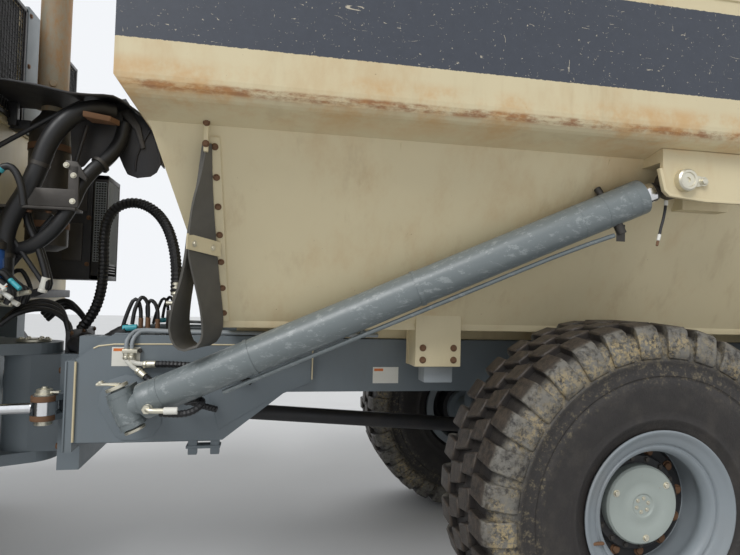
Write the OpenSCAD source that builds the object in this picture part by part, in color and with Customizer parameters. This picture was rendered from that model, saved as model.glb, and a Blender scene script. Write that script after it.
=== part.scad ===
// Articulated dump truck, three axles, millimetres.
// X runs to the rear, Y to the right-hand side, Z up. Z 0 is the ground.
// Lengths along the truck are measured from the front bogie axle and then shifted,
// so that the middle of the whole truck stands over the origin.

/* [Wheels] */
// Tyre radius out to the lug tips
tyre_r = 805; // [760:5:850]
// Section width of a tyre
tyre_w = 590; // [520:5:620]
// Distance from the centre plane of the truck to a wheel's centre plane
wheel_y = 1150; // [1120:5:1200]
// Radius of the rim's outer flange
rim_r = 356; // [330:1:370]
// Radius of the planet hub's cover
hub_cover_r = 172; // [150:1:200]

/* [Layout] */
// Front axle ahead of the front bogie axle
front_axle_x = 4300; // [4250:10:4500]
// Spacing of the two bogie axles
bogie_spacing = 1700; // [1680:5:1800]
// Steering pivot ahead of the front bogie axle
pivot_x = 2950; // [2930:5:2980]
// Front bumper face ahead of the front axle
front_overhang = 2200; // [2150:10:2300]
// Tail lip of the dump body behind the rear axle
rear_overhang = 1600; // [1500:10:1700]
// Radius of the recovery pins' bores, front and rear
recovery_r = 32; // [25:1:36]

/* [Rear frame] */
// Height of the underside of the frame rails
rail_z = 1178; // [1160:1:1200]
// Depth of a frame rail
rail_h = 283; // [240:1:300]
// Outer face of a frame rail from the centre plane
rail_y = 505; // [480:1:515]
// Width of a frame rail's box
rail_w = 120; // [80:1:140]
// Outer face of the nose plates from the centre plane
nose_y = 550; // [540:1:560]
// Height of the frame oscillation axis
roll_z = 1080; // [1060:5:1100]
// Radius of the oscillation bearing
roll_r = 170; // [140:1:180]

/* [Dump body] */
// Half width of the flat floor, outside
floor_y = 790; // [740:5:800]
// Half width across the upper sides
side_y = 1420; // [1380:5:1440]
// Height of the body's underside
floor_z = 1530; // [1520:1:1560]
// Height of the shelf where the sides step out
shelf_z = 2400; // [2380:5:2450]
// Height of the top rail
top_z = 3060; // [2900:10:3150]
// Thickness of the floor and walls
wall = 32; // [20:1:40]

/* [Hoist] */
// Outer radius of a hoist cylinder's barrel
hoist_r = 82; // [70:1:90]
// Radius of a hoist cylinder's rod
hoist_rod_r = 52; // [40:1:58]

/* [Tractor] */
// Half width of the cab
cab_y = 750; // [700:5:780]
// Height of the cab's floor
cab_z = 1600; // [1560:5:1650]
// Height of the cab's roof
roof_z = 3330; // [3200:10:3400]
// Half width of the bonnet
hood_y = 640; // [600:5:700]
// Radius of the exhaust stack
stack_r = 75; // [60:1:90]
// Steering angle at full lock
steer_deg = 45; // [35:1:45]

/* [Hidden] */
$fn = 64;

// Running clearance of a pin or shaft in its bore, and of faces that slide
fit = 0.3;

// Paint
cream = [0.86, 0.81, 0.66];
grey = [0.43, 0.47, 0.50];
dark = [0.12, 0.12, 0.13];
rubber = [0.10, 0.10, 0.10];
steel = [0.72, 0.73, 0.74];
slate = [0.22, 0.24, 0.26];
warm = [0.55, 0.50, 0.42];
glass = [0.2, 0.25, 0.28, 0.5];

// Places along the truck, from the front bogie axle
front_x = -front_axle_x;
hitch_x = -pivot_x;
rear_x = bogie_spacing;
bumper_x = front_x - front_overhang;
tail_x = rear_x + rear_overhang;
shift_x = -(bumper_x + tail_x) / 2;
axle_z = tyre_r;
rail_top = rail_z + rail_h;

// Extrudes an outline in X and Z from y0 to y1
module side_slab(points, y0, y1) {
    translate([0, y1, 0]) rotate([90, 0, 0]) linear_extrude(y1 - y0) polygon(points);
}

// Extrudes an outline in Y and Z from x0 to x1
module cross_slab(points, x0, x1) {
    translate([x0, 0, 0]) rotate([90, 0, 90]) linear_extrude(x1 - x0) polygon(points);
}

// A box from its two corners
module block(low, high) {
    translate(low) cube([for (i = [0:2]) high[i] - low[i]]);
}

// A round bar along Y
module bar_y(x, z, r, y0, y1) {
    translate([x, y0, z]) rotate([-90, 0, 0]) cylinder(r = r, h = y1 - y0);
}

// A round bar along X
module bar_x(y, z, r, x0, x1) {
    translate([x0, y, z]) rotate([0, 90, 0]) cylinder(r = r, h = x1 - x0);
}

// The same thing on both sides of the truck
module both_sides() {
    children();
    mirror([0, 1, 0]) children();
}

// side is -1 on the left, where the shapes are drawn, and 1 on the right
module on_side(side) {
    if (side < 0) children();
    else mirror([0, 1, 0]) children();
}

module placed() {
    translate([shift_x, 0, 0]) children();
}

// Wheels

bead_r = rim_r - 26;
rim_half = 248;
groove = 36;
lug_count = 33;
lug_half = 46;
lug_pitch = 360 / lug_count;

// Half of the tyre's section: distance from the wheel plane, radius
tyre_half = [[rim_half - 24, bead_r], [rim_half + 8, bead_r + 30], [tyre_w / 2 - 14, bead_r + 110],
    [tyre_w / 2, (bead_r + tyre_r) / 2 - 10], [tyre_w / 2 - 10, tyre_r - 155], [tyre_w / 2 - 37, tyre_r - 70],
    [tyre_w / 2 - 68, tyre_r - groove - 4], [0, tyre_r - groove]];

// Outline of a shoulder lug, in the same two measures. Its top is flat, with its corners at the full radius
lug_outline = [[tyre_w / 2 - 167, tyre_r - 60], [tyre_w / 2 - 167, tyre_r - 0.8], [tyre_w / 2 - 37, tyre_r - 9],
    [tyre_w / 2 - 6, tyre_r - 142], [tyre_w / 2 - 40, tyre_r - 150]];

module tyre() {
    half = tyre_half;
    other = [for (i = [len(half) - 2:-1:0]) [-half[i][0], half[i][1]]];
    rotate([90, 0, 0]) rotate_extrude($fn = 96)
        polygon([for (p = concat(half, other)) [p[1], p[0]]]);
    for (i = [0:lug_count - 1]) {
        rotate([0, i * lug_pitch, 0]) lug(-1);
        rotate([0, (i + 0.5) * lug_pitch, 0]) lug(1);
    }
}

// A lug at the bottom of the wheel, on the given side of its plane
module lug(side) {
    cross_slab([for (p = lug_outline) [side * p[0], -p[1]]], -lug_half, lug_half);
}

dish_y = 60;
hub_back_y = 215;
hub_r = 215;
cover_out_y = 150;

// The rim stands on the wheel plane with its open side towards -Y
module rim() {
    rotate([90, 0, 0]) {
        rotate_extrude($fn = 96) polygon([
            [rim_r - 78, -rim_half], [bead_r - 0.3, -rim_half], [bead_r - 0.3, rim_half - 6],
            [rim_r, rim_half + 14], [rim_r, rim_half + 26], [rim_r - 16, rim_half + 26],
            [rim_r - 52, rim_half - 20], [rim_r - 78, rim_half - 40], [rim_r - 78, dish_y + 20],
            [rim_r - 62, dish_y], [rim_r - 62, -rim_half + 20]]);
        difference() {
            translate([0, 0, dish_y - 20]) cylinder(r = rim_r - 61, h = 40);
            translate([0, 0, dish_y - 30]) cylinder(r = hub_r - 1, h = 60);
        }
        translate([0, 0, -hub_back_y]) cylinder(r = hub_r, h = hub_back_y + dish_y + 40);
        translate([0, 0, dish_y]) cylinder(r = hub_cover_r, h = cover_out_y - dish_y);
    }
}

module wheel_place(x, side) {
    translate([x, side * wheel_y, axle_z]) on_side(side) children();
}

module tyre_at(x, side) { color(rubber) placed() wheel_place(x, side) tyre(); }
module rim_at(x, side) { color(grey) placed() wheel_place(x, side) rim(); }

// Axles

axle_end_y = wheel_y - hub_back_y - fit;
housing_r = 105;
diff_r = 235;
diff_half = 190;
hub_flange_r = 150;

// An axle housing with its differential, from hub to hub
module axle_housing() {
    rotate([90, 0, 0]) translate([0, 0, -axle_end_y]) cylinder(r = housing_r, h = 2 * axle_end_y);
    difference() {
        rotate([0, 90, 0]) translate([0, 0, -diff_half]) cylinder(r = diff_r, h = 2 * diff_half);
        for (s = [-1, 1]) translate([0, s * 420, 0]) cube([500, 400, 600], center = true);
    }
    for (s = [-1, 1]) translate([0, s * (axle_end_y - 30), 0]) rotate([90, 0, 0])
        cylinder(r = hub_flange_r, h = 60, center = true);
}

// Tractor

trail_y = 310;
trail_w = 90;
trail_end_x = hitch_x - 460;
neck_y = 355;
axle_room = 50;
trail_low = axle_z + housing_r + axle_room;
trail_top = 1250;
lug_r = 150;
pin_r = 55;
lug_t = 60;
lug_low = 740;
lug_high = 1330;
cross_top = trail_top - 60;
cross_w = 90;
cross_x = [front_x - 700, front_x + 450];
mount_x = [front_x - 320, front_x + 900];
mount_w = 120;
mount_t = 80;

module tractor_frame() {
    color(grey) placed() {
        both_sides() block([bumper_back_x + fit, -trail_y - trail_w, trail_low],
            [trail_end_x + 40, -trail_y, trail_top]);
        block([trail_end_x, -neck_y, lug_low], [hitch_x - 300, neck_y, lug_high + lug_t]);
        for (x = concat(bumper_back_x + fit, cross_x))
            block([x, -trail_y, trail_low + 40], [x + cross_w, trail_y, cross_top]);
        for (z = [lug_low, lug_high]) difference() {
            translate([0, 0, z]) linear_extrude(lug_t) hull() {
                translate([hitch_x, 0]) circle(r = lug_r, $fn = 32);
                translate([hitch_x - 310, 0]) square([20, 2 * trail_y], center = true);
            }
            translate([hitch_x, 0, z - 1]) cylinder(r = pin_r, h = lug_t + 2);
        }
        translate([hitch_x, 0, lug_low - 10]) cylinder(r = pin_r, h = lug_high + lug_t + 20 - lug_low);
        both_sides() steer_bracket();
        both_sides() for (x = mount_x) {
            block([x, -cab_y + 30, trail_top - mount_t], [x + mount_w, -trail_y - trail_w, trail_top]);
            block([x, -cab_y + 30, trail_top - mount_t], [x + mount_w, -cab_y + 30 + mount_w, cab_z - fit]);
        }
    }
}

// Steering cylinders: base on the tractor frame, eye on the hitch yoke
steer_base = [hitch_x - 1180, -640, roll_z + 10];
steer_eye = [hitch_x + 205, -400, roll_z + 10];
steer_pin_r = 32;
steer_eye_r = 62;
steer_r = 48;
steer_rod_r = 28;
steer_eye_half = 33;
// Undersides of the two plates that hold a steering pin, from the pin's middle, and their thickness
steer_plates = [-62, 34];
steer_plate_t = 28;
steer_span = steer_eye - steer_base;
steer_len = norm(steer_span);
steer_yaw = atan2(steer_span[1], steer_span[0]);

// Length of the left cylinder, pin to pin, with the hitch turned by a
function steer_length(a) = let (x = steer_eye[0] - hitch_x, y = steer_eye[1])
    norm([hitch_x + x * cos(a) - y * sin(a) - steer_base[0], x * sin(a) + y * cos(a) - steer_base[1]]);
steer_short = steer_length(-steer_deg);
steer_bore_x = 120;
steer_tube_x = 95;
steer_pin_reach = 70;

module steer_bracket() {
    for (z = steer_plates) difference() {
        block([steer_base[0] - 60, steer_base[1] - 60, steer_base[2] + z],
              [steer_base[0] + 50, -trail_y - trail_w, steer_base[2] + z + steer_plate_t]);
        translate([steer_base[0], steer_base[1], steer_base[2] + z - 1])
            cylinder(r = steer_pin_r, h = steer_plate_t + 2);
    }
    translate([steer_base[0], steer_base[1], steer_base[2] - steer_pin_reach])
        cylinder(r = steer_pin_r, h = 2 * steer_pin_reach);
}

module steer_frame() {
    translate(steer_base) rotate([0, 0, steer_yaw]) children();
}

module steer_barrel() {
    steer_frame() difference() {
        union() {
            translate([0, 0, -steer_eye_half]) cylinder(r = steer_eye_r, h = 2 * steer_eye_half);
            translate([40, 0, 0]) rotate([0, 90, 0]) cylinder(r = steer_rod_r, h = steer_tube_x + 5 - 40);
            translate([steer_tube_x, 0, 0]) rotate([0, 90, 0])
                cylinder(r = steer_r, h = steer_short - steer_eye_r - 12 - steer_tube_x);
        }
        translate([0, 0, -40]) cylinder(r = steer_pin_r + fit, h = 80);
        translate([steer_bore_x, 0, 0]) rotate([0, 90, 0]) cylinder(r = steer_rod_r + fit, h = steer_len);
    }
}

module steer_rod() {
    from = steer_bore_x + 10 + steer_len - steer_short;
    steer_frame() difference() {
        union() {
            translate([steer_len, 0, -steer_eye_half]) cylinder(r = steer_eye_r, h = 2 * steer_eye_half);
            translate([from, 0, 0]) rotate([0, 90, 0]) cylinder(r = steer_rod_r, h = steer_len - 40 - from);
        }
        translate([steer_len, 0, -40]) cylinder(r = steer_pin_r + fit, h = 80);
    }
}

module steer_barrel_at(side) { color(grey) placed() on_side(side) steer_barrel(); }
module steer_rod_at(side) { color(steel) placed() on_side(side) steer_rod(); }

// Hitch yoke between the tractor's lugs, with the oscillation trunnion towards the rear
nose_x = hitch_x + 350;
yoke_low = lug_low + lug_t + fit;
yoke_high = lug_high - fit;
yoke_r = 140;
yoke_plate_y = 290;
yoke_plate_x = nose_x - 110;
trunnion_len = 330;

module hitch_yoke() {
    color(grey) placed() difference() {
        union() {
            translate([hitch_x, 0, yoke_low]) cylinder(r = yoke_r, h = yoke_high - yoke_low);
            block([hitch_x, 5 - yoke_r, yoke_low], [nose_x - 60, yoke_r - 5, yoke_high]);
            block([yoke_plate_x, -yoke_plate_y, yoke_low - 60], [nose_x - fit, yoke_plate_y, yoke_high + 20]);
            bar_x(0, roll_z, roll_r, nose_x - 60, nose_x + trunnion_len);
            both_sides() for (z = steer_plates) hull() {
                translate([steer_eye[0], steer_eye[1], steer_eye[2] + z])
                    cylinder(r = steer_eye_r - 4, h = steer_plate_t, $fn = 32);
                block([yoke_plate_x, -yoke_plate_y - 40, steer_eye[2] + z],
                    [yoke_plate_x + 70, 40 - yoke_plate_y, steer_eye[2] + z + steer_plate_t]);
            }
            both_sides() for (z = [steer_plates[0] - 12, steer_plates[1] + steer_plate_t - 1])
                translate([steer_eye[0], steer_eye[1], steer_eye[2] + z]) cylinder(r = steer_pin_r, h = 13);
        }
        translate([hitch_x, 0, yoke_low - 1]) cylinder(r = pin_r + fit, h = yoke_high - yoke_low + 2);
    }
}

fender_in_r = tyre_r + 95;
fender_t = 28;
bumper_back_x = bumper_x + 250;
deck_z = 1130;
deck_t = 80;
deck_rear_x = front_x - fender_in_r - 60;
lug_reach = 100;
recovery_z = 800;
recovery_t = 60;
bumper_y = 1250;
bumper_low = 720;
bumper_corner = [70, 80];
lamp_y = 960;
lamp_z = bumper_low + 230;
lamp_r = 85;
lamp_proud = 24;

hood_front_x = bumper_x + lug_reach + 30;
hood_hinge = [hood_front_x + 30, deck_z + 35];
hood_pin_r = 12;
hood_ear_y = 525;
hood_ear_t = 35;

// A flat lug with an upright bore, its tip towards -X
module recovery_lug() {
    linear_extrude(recovery_t) difference() {
        union() {
            circle(r = lug_reach - 40);
            translate([0, 40 - lug_reach]) square([lug_reach - 40, 2 * (lug_reach - 40)]);
        }
        circle(r = recovery_r);
    }
}

module front_bumper() {
    color(grey) placed() {
        cross_slab([[bumper_corner[0] - bumper_y, bumper_low], [bumper_y - bumper_corner[0], bumper_low],
            [bumper_y, bumper_low + bumper_corner[1]], [bumper_y, deck_z], [-bumper_y, deck_z],
            [-bumper_y, bumper_low + bumper_corner[1]]], bumper_x + lug_reach, bumper_back_x);
        both_sides() {
            bar_y(hood_hinge[0], hood_hinge[1], hood_pin_r, -hood_ear_y - 45, 45 - hood_ear_y);
            block([hood_hinge[0] - 20, 10 - hood_ear_y, deck_z - 1],
                [hood_hinge[0] + 20, 45 - hood_ear_y, hood_hinge[1] + hood_pin_r]);
        }
        both_sides() block([bumper_back_x - 1, -bumper_y, deck_z - deck_t],
            [deck_rear_x, -trail_y - trail_w - fit, deck_z]);
        translate([bumper_x + lug_reach - 40, 0, recovery_z]) recovery_lug();
        both_sides() bar_x(-lamp_y, lamp_z, lamp_r, bumper_x + lug_reach - lamp_proud, bumper_x + lug_reach + 1);
    }
}

link_len = 620;
link_y = trail_y + 50;
link_r = 32;
strut_r = 45;
hanger_half = 30;

module front_axle() {
    color(grey) placed() translate([front_x, 0, axle_z]) {
        axle_housing();
        both_sides() {
            translate([0, -trail_y - trail_w / 2, 0]) cylinder(r = strut_r, h = trail_low - axle_z);
            translate([-link_len, -link_y, 60]) rotate([0, 90, 0]) cylinder(r = link_r, h = link_len);
            block([-link_len - 40, -link_y - hanger_half, 20],
                [20 - link_len, hanger_half - link_y, trail_low - axle_z]);
        }
    }
}

// Cab

cab_front_x = front_x - 330;
cab_rear_x = hitch_x - 90;
cab_wall = 60;
door_x0 = front_x - 180;
door_x1 = front_x + 700;
door_z0 = axle_z + fender_in_r + fender_t + 60;
door_z1 = roof_z - 180;
door_lap = 25;
door_t = 40;
door_gap = 6;
hinge_r = 12;
glass_t = 8;
// Height where the cab's front leans back, the sill of its side windows, and the sill of its windscreen
waist_z = cab_z + 700;
sill_z = waist_z - 50;
screen_z = waist_z + 30;
screen_y = cab_y - 110;
screen_top = roof_z - 190;

cab_outline = [[cab_front_x, cab_z], [cab_front_x - 40, waist_z], [cab_front_x + 230, roof_z - 60],
    [cab_front_x + 320, roof_z], [cab_rear_x - 60, roof_z], [cab_rear_x, roof_z - 60], [cab_rear_x, cab_z]];
cab_hollow = [[cab_front_x + cab_wall, cab_z + cab_wall], [cab_front_x + cab_wall - 36, waist_z],
    [cab_front_x + 300, roof_z - 120], [cab_rear_x - cab_wall, roof_z - 120],
    [cab_rear_x - cab_wall, cab_z + cab_wall]];

rear_windows = [[-680, -515], [-175, 300]];
rear_window_z = [roof_z - 590, screen_top];

side_window = [[door_x1 + 90, sill_z], [door_x1 + 90, door_z1],
    [cab_rear_x - 160, door_z1], [cab_rear_x - 160, sill_z]];

roof_lamp_y = [470, 640];
roof_lamp_x = [cab_front_x + 335, cab_front_x + 405];
roof_lamp_h = 68;

module cab_shell() {
    color(cream) placed() door_hinges();
    color(dark) placed() both_sides() block([roof_lamp_x[0], -roof_lamp_y[1], roof_z - 1],
        [roof_lamp_x[1], -roof_lamp_y[0], roof_z + roof_lamp_h]);
    color(cream) placed() difference() {
        side_slab(cab_outline, -cab_y, cab_y);
        side_slab(cab_hollow, -cab_y + cab_wall, cab_y - cab_wall);
        block([door_x0, -cab_y - 1, door_z0], [door_x1, -cab_y + cab_wall + 1, door_z1]);
        block([door_x0 + 80, cab_y - cab_wall - 1, sill_z], [door_x1, cab_y + 1, door_z1]);
        side_slab(side_window, -cab_y - 1, cab_y + 1);
        screen_block();
        for (y = rear_windows)
            block([cab_rear_x - cab_wall - 1, y[0], rear_window_z[0]], [cab_rear_x + 1, y[1], rear_window_z[1]]);
    }
}

// What is cut from the cab's leaning front for the windscreen
module screen_block() {
    block([cab_front_x - 200, -screen_y, screen_z], [cab_front_x + 340, screen_y, screen_top]);
}

module cab_glass() {
    color(glass) placed() {
        for (y = rear_windows)
            block([cab_rear_x - 40, y[0], rear_window_z[0]], [cab_rear_x - 40 + glass_t, y[1], rear_window_z[1]]);
        both_sides() side_slab(side_window, -cab_y + 20, -cab_y + 20 + glass_t);
        block([door_x0 + 80, cab_y - 20 - glass_t, sill_z], [door_x1, cab_y - 20, door_z1]);
        intersection() {
            side_slab([[cab_front_x - 4, waist_z], [cab_front_x + 4, waist_z], [cab_front_x + 270, roof_z - 120],
                [cab_front_x + 262, roof_z - 120]], -screen_y, screen_y);
            screen_block();
        }
    }
}

console_x = [cab_front_x + cab_wall + 30, cab_front_x + 330];
console_y = 500;
console_top = screen_z;
seat_x = [front_x + 330, front_x + 780];
seat_y = 240;
seat_top = cab_z + 480;
seat_back_top = cab_z + 1200;
column_z = console_top - 90;
column_tilt = 62;
column_len = 160;
column_r = 26;
wheel_ring_r = 190;
wheel_tube_r = 16;

// Console with the steering wheel, and the seat
module cab_interior() {
    color(dark) placed() {
        block([console_x[0], -console_y, cab_z + cab_wall], [console_x[1], console_y, console_top]);
        block([seat_x[0], -seat_y, cab_z + cab_wall], [seat_x[1], seat_y, seat_top]);
        side_slab([[seat_x[1] - 100, seat_top], [seat_x[1], seat_top], [seat_x[1] + 100, seat_back_top],
            [seat_x[1] + 20, seat_back_top]], 10 - seat_y, seat_y - 10);
        translate([console_x[1], 0, column_z]) rotate([0, column_tilt, 0]) {
            cylinder(r = column_r, h = column_len + 10);
            translate([0, 0, column_len]) rotate_extrude($fn = 48)
                translate([wheel_ring_r, 0]) circle(r = wheel_tube_r, $fn = 16);
            for (a = [0, 120, 240]) rotate([0, 0, a])
                translate([0, -14, column_len - 8]) cube([wheel_ring_r + 2, 28, wheel_tube_r]);
        }
    }
}

hinge_zs = [door_z0 + 120, door_z1 - 200];
knuckle_h = 60;
hinge_at = [door_x1 + door_lap + 10, -cab_y - door_gap - door_t / 2];
leaf_half = 8;
door_window_x = [door_x0 + 90, door_x1 - 90];
door_window_z = [sill_z - 90, door_z1 - 70];

// The door lies over its opening and turns on two pins at its rear edge
module cab_door() {
    color(cream) placed() difference() {
        union() {
            door_panel();
            for (z = hinge_zs) {
                translate([hinge_at[0], hinge_at[1], z]) cylinder(r = hinge_r + 8, h = knuckle_h);
                block([door_x1 - 20, hinge_at[1] - leaf_half, z],
                    [hinge_at[0], hinge_at[1] + leaf_half, z + knuckle_h]);
            }
        }
        for (z = hinge_zs) translate([hinge_at[0], hinge_at[1], z - 1])
            cylinder(r = hinge_r + fit, h = knuckle_h + 2);
    }
}

module door_panel() {
    difference() {
        block([door_x0 - door_lap, -cab_y - door_gap - door_t, door_z0 - door_lap],
            [door_x1 + door_lap, -cab_y - door_gap, door_z1 + door_lap]);
        block([door_window_x[0], -cab_y - 100, door_window_z[0]], [door_window_x[1], -cab_y, door_window_z[1]]);
        for (z = hinge_zs) translate([hinge_at[0], hinge_at[1], z - knuckle_h / 2 - door_gap])
            cylinder(r = hinge_r + 20, h = 1.5 * knuckle_h + 2 * door_gap);
    }
}

// Pins that the door hangs on
module door_hinges() {
    for (z = hinge_zs) {
        translate([hinge_at[0], hinge_at[1], z - knuckle_h / 2]) cylinder(r = hinge_r, h = 1.5 * knuckle_h);
        block([hinge_at[0] - leaf_half, hinge_at[1], z - knuckle_h / 2],
            [hinge_at[0] + leaf_half, -cab_y + 1, z - fit]);
    }
}

// Bonnet, engine and what stands beside them

hood_rear_x = cab_front_x - 70;
hood_low = deck_z + 50;
hood_wall = 40;
hood_nose_z = 1960;
hood_brow_z = hood_nose_z + 150;
hood_rear_z = hood_nose_z + 330;
grille_y = 460;
grille_z = [hood_low + 100, hood_nose_z - 60];
engine_top = hood_nose_z - 60;
slat_count = 9;
slat_h = 26;
slat_pitch = (grille_z[1] - grille_z[0]) / slat_count;
radiator_y = 440;
radiator_x = [hood_front_x + 200, hood_front_x + 320];
radiator_top = hood_nose_z - 40;
hood_outline = [[hood_front_x, hood_low], [hood_front_x + 20, hood_nose_z], [hood_front_x + 180, hood_brow_z],
    [hood_rear_x, hood_rear_z], [hood_rear_x, hood_low]];
hood_hollow = [[hood_front_x + hood_wall, hood_low - 1], [hood_front_x + hood_wall + 20, hood_nose_z - 20],
    [hood_front_x + 200, hood_brow_z - 42], [hood_rear_x + 1, hood_rear_z - 42], [hood_rear_x + 1, hood_low - 1]];

module bonnet() {
    color(slate) placed() difference() {
        side_slab(hood_outline, -hood_y, hood_y);
        side_slab(hood_hollow, -hood_y + hood_wall, hood_y - hood_wall);
        block([hood_front_x - 1, -grille_y, grille_z[0]], [hood_front_x + hood_wall + 30, grille_y, grille_z[1]]);
        block([hood_front_x - 1, 5 - hood_ear_y, hood_low - 1],
            [hood_front_x + hood_wall + 30, hood_ear_y - 5, grille_z[0] - 30]);
    }
    color(dark) placed() for (i = [0.5:slat_count]) translate([0, 0, grille_z[0] + i * slat_pitch])
        block([hood_front_x + 18, -grille_y - 1, -slat_h / 2], [hood_front_x + hood_wall, grille_y + 1, slat_h / 2]);
    color(slate) placed() both_sides() difference() {
        union() {
            bar_y(hood_hinge[0], hood_hinge[1], hood_pin_r + 16, -hood_ear_y - hood_ear_t, -hood_ear_y);
            block([hood_front_x, -hood_ear_y - hood_ear_t, hood_hinge[1]],
                [hood_front_x + hood_wall, -hood_ear_y, hood_low + 20]);
        }
        bar_y(hood_hinge[0], hood_hinge[1], hood_pin_r + fit, -hood_ear_y - 75, 25 - hood_ear_y);
    }
}

module engine() {
    color(dark) placed() {
        block([radiator_x[1] + 100, 20 - trail_y, cross_top + fit], [hood_rear_x - 120, trail_y - 20, engine_top]);
        block([radiator_x[0], -radiator_y, trail_top + fit], [radiator_x[1], radiator_y, radiator_top]);
    }
}

fender_from = 24;
fender_to = 156;

module front_fenders() {
    color(dark) placed() both_sides() translate([front_x, -cab_y - fit, axle_z]) rotate([90, 0, 0])
        rotate([0, 0, fender_from]) rotate_extrude(angle = fender_to - fender_from, $fn = 96)
            translate([fender_in_r, 0]) square([fender_t, wheel_y + tyre_w / 2 - 10 - cab_y]);
}

ladder_low = 430;
ladder_x = [deck_rear_x - 400, deck_rear_x - 10];
ladder_y = 1240;
ladder_bar = [30, 40];
tread_deep = 160;
tread_z = [ladder_low + 30, ladder_low + 310];

module ladder() {
    color(dark) placed() both_sides() {
        for (x = [ladder_x[0], ladder_x[1] - ladder_bar[0]])
            block([x, -ladder_y, ladder_low], [x + ladder_bar[0], ladder_bar[1] - ladder_y, deck_z - deck_t - fit]);
        for (z = tread_z)
            block([ladder_x[0], -ladder_y, z], [ladder_x[1], tread_deep - ladder_y, z + ladder_bar[0]]);
    }
}

tank_len = 540;
tank_y = 1050;
tank_low = 620;

module fuel_tank() {
    color(grey) placed() both_sides() block([deck_rear_x - tank_len, -tank_y, tank_low],
        [deck_rear_x, -trail_y - trail_w - fit, deck_z - deck_t - fit]);
}

stack_at = [cab_rear_x + 200, -200];
// Heights of the silencer's foot, of the flange on it and of the open end above the roof
silencer_z = cab_z + 300;
flange_z = silencer_z + 780;
flange_h = 30;
stack_top = roof_z + 80;
stay_z = waist_z;
stay_h = 60;

module exhaust_stack() {
    color(warm) placed() difference() {
        union() {
            translate([stack_at[0], stack_at[1], silencer_z]) cylinder(r = stack_r + 30, h = flange_z - silencer_z);
            translate([stack_at[0], stack_at[1], flange_z]) cylinder(r = stack_r + 45, h = flange_h);
            translate([stack_at[0], stack_at[1], flange_z + flange_h])
                cylinder(r = stack_r, h = stack_top - flange_z - flange_h);
            block([cab_rear_x + fit, stack_at[1] - 40, stay_z], [stack_at[0], stack_at[1] + 40, stay_z + stay_h]);
        }
        translate([stack_at[0], stack_at[1], flange_z + flange_h + 10])
            cylinder(r = stack_r - 5, h = stack_top - flange_z);
    }
}

shield_top = flange_z + 10;
shield_y = [-600, stack_at[1] - stack_r - 50];
shield_t = 30;
shield_low = shield_top - 350;

// Curved shield over the hot pipes, drawn from above and from the side
module rear_shield() {
    color(dark) placed() intersection() {
        side_slab([[cab_rear_x + fit, shield_top - 210], [cab_rear_x + fit, shield_top],
            [cab_rear_x + 260, shield_top], [cab_rear_x + 440, shield_top - 130], [cab_rear_x + 500, shield_low],
            [cab_rear_x + 500 - shield_t, shield_low], [cab_rear_x + 442 - shield_t, shield_top - 145],
            [cab_rear_x + 250, shield_top - shield_t], [cab_rear_x + shield_t, shield_top - shield_t],
            [cab_rear_x + shield_t, shield_top - 210]], shield_y[0], shield_y[1]);
        translate([0, 0, shield_low - 40]) linear_extrude(shield_top - shield_low + 70)
            polygon([[cab_rear_x, shield_y[0]], [cab_rear_x + 330, shield_y[0]],
                [cab_rear_x + 510, shield_y[0] + 180], [cab_rear_x + 510, shield_y[1]], [cab_rear_x, shield_y[1]]]);
    }
}

cooler_y = [330, 720];
cooler_deep = 300;
cooler_z = [cab_z + 60, cab_z + 890];

module oil_cooler() {
    color(dark) placed() block([cab_rear_x + fit, cooler_y[0], cooler_z[0]],
        [cab_rear_x + cooler_deep, cooler_y[1], cooler_z[1]]);
}

intake_at = [cab_rear_x + 110, -480];
intake_r = 65;
intake_z = [cab_z + 50, cab_z + 850];

module intake_pipes() {
    color(dark) placed() {
        translate([intake_at[0], intake_at[1], intake_z[0]]) cylinder(r = intake_r, h = intake_z[1] - intake_z[0]);
        block([cab_rear_x + fit, intake_at[1] - 20, stay_z], [intake_at[0], intake_at[1] + 20, stay_z + 50]);
    }
}

mirror_x = cab_front_x + 60;
mirror_t = 50;
mirror_y = [1180, 960];
mirror_z = [roof_z - 880, roof_z - 480];
mirror_arm_z = roof_z - 730;

module mirrors() {
    color(dark) placed() both_sides() {
        block([mirror_x, -mirror_y[0], mirror_z[0]], [mirror_x + mirror_t, -mirror_y[1], mirror_z[1]]);
        block([mirror_x + 10, -mirror_y[1], mirror_arm_z], [mirror_x + 40, -cab_y - fit, mirror_arm_z + 30]);
    }
}

// Rear frame

pivot = [rear_x + 480, 1290];
pivot_pin_r = 45;
beam_pin_r = 60;
pad_z = 120;
pad_half = 90;
beam_x = rear_x / 2;
beam_z = 1010;
plate_t = 40;
nose_low = 945;
nose_outline = [[nose_x + plate_t, nose_low], [nose_x + plate_t, 1350], [nose_x + 206, rail_top + 12],
    [-1400, rail_top + 12], [-1400, rail_z + 60], [-1550, rail_z], [-1850, nose_low]];
hoist_low = [-2270, -770, 1152];
hoist_high = [185, -1228, 2250];
hoist_eye_r = 62;
hoist_pin_r = 32;

frame_end_x = pivot[0] + 130;
boss_y = 640;
boss_r = 75;
hanger_y = 35;
cross_beam = 110;
beam_out_y = 690;
beam_in_y = 560;
belly = [930, 960];
tail_lamp_y = [250, 390];
tail_lamp_z = [rail_z + 122, rail_z + 222];
swivel_pin_r = 40;
swivel_t = 45;
bulkhead_x = -1900;

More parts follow.
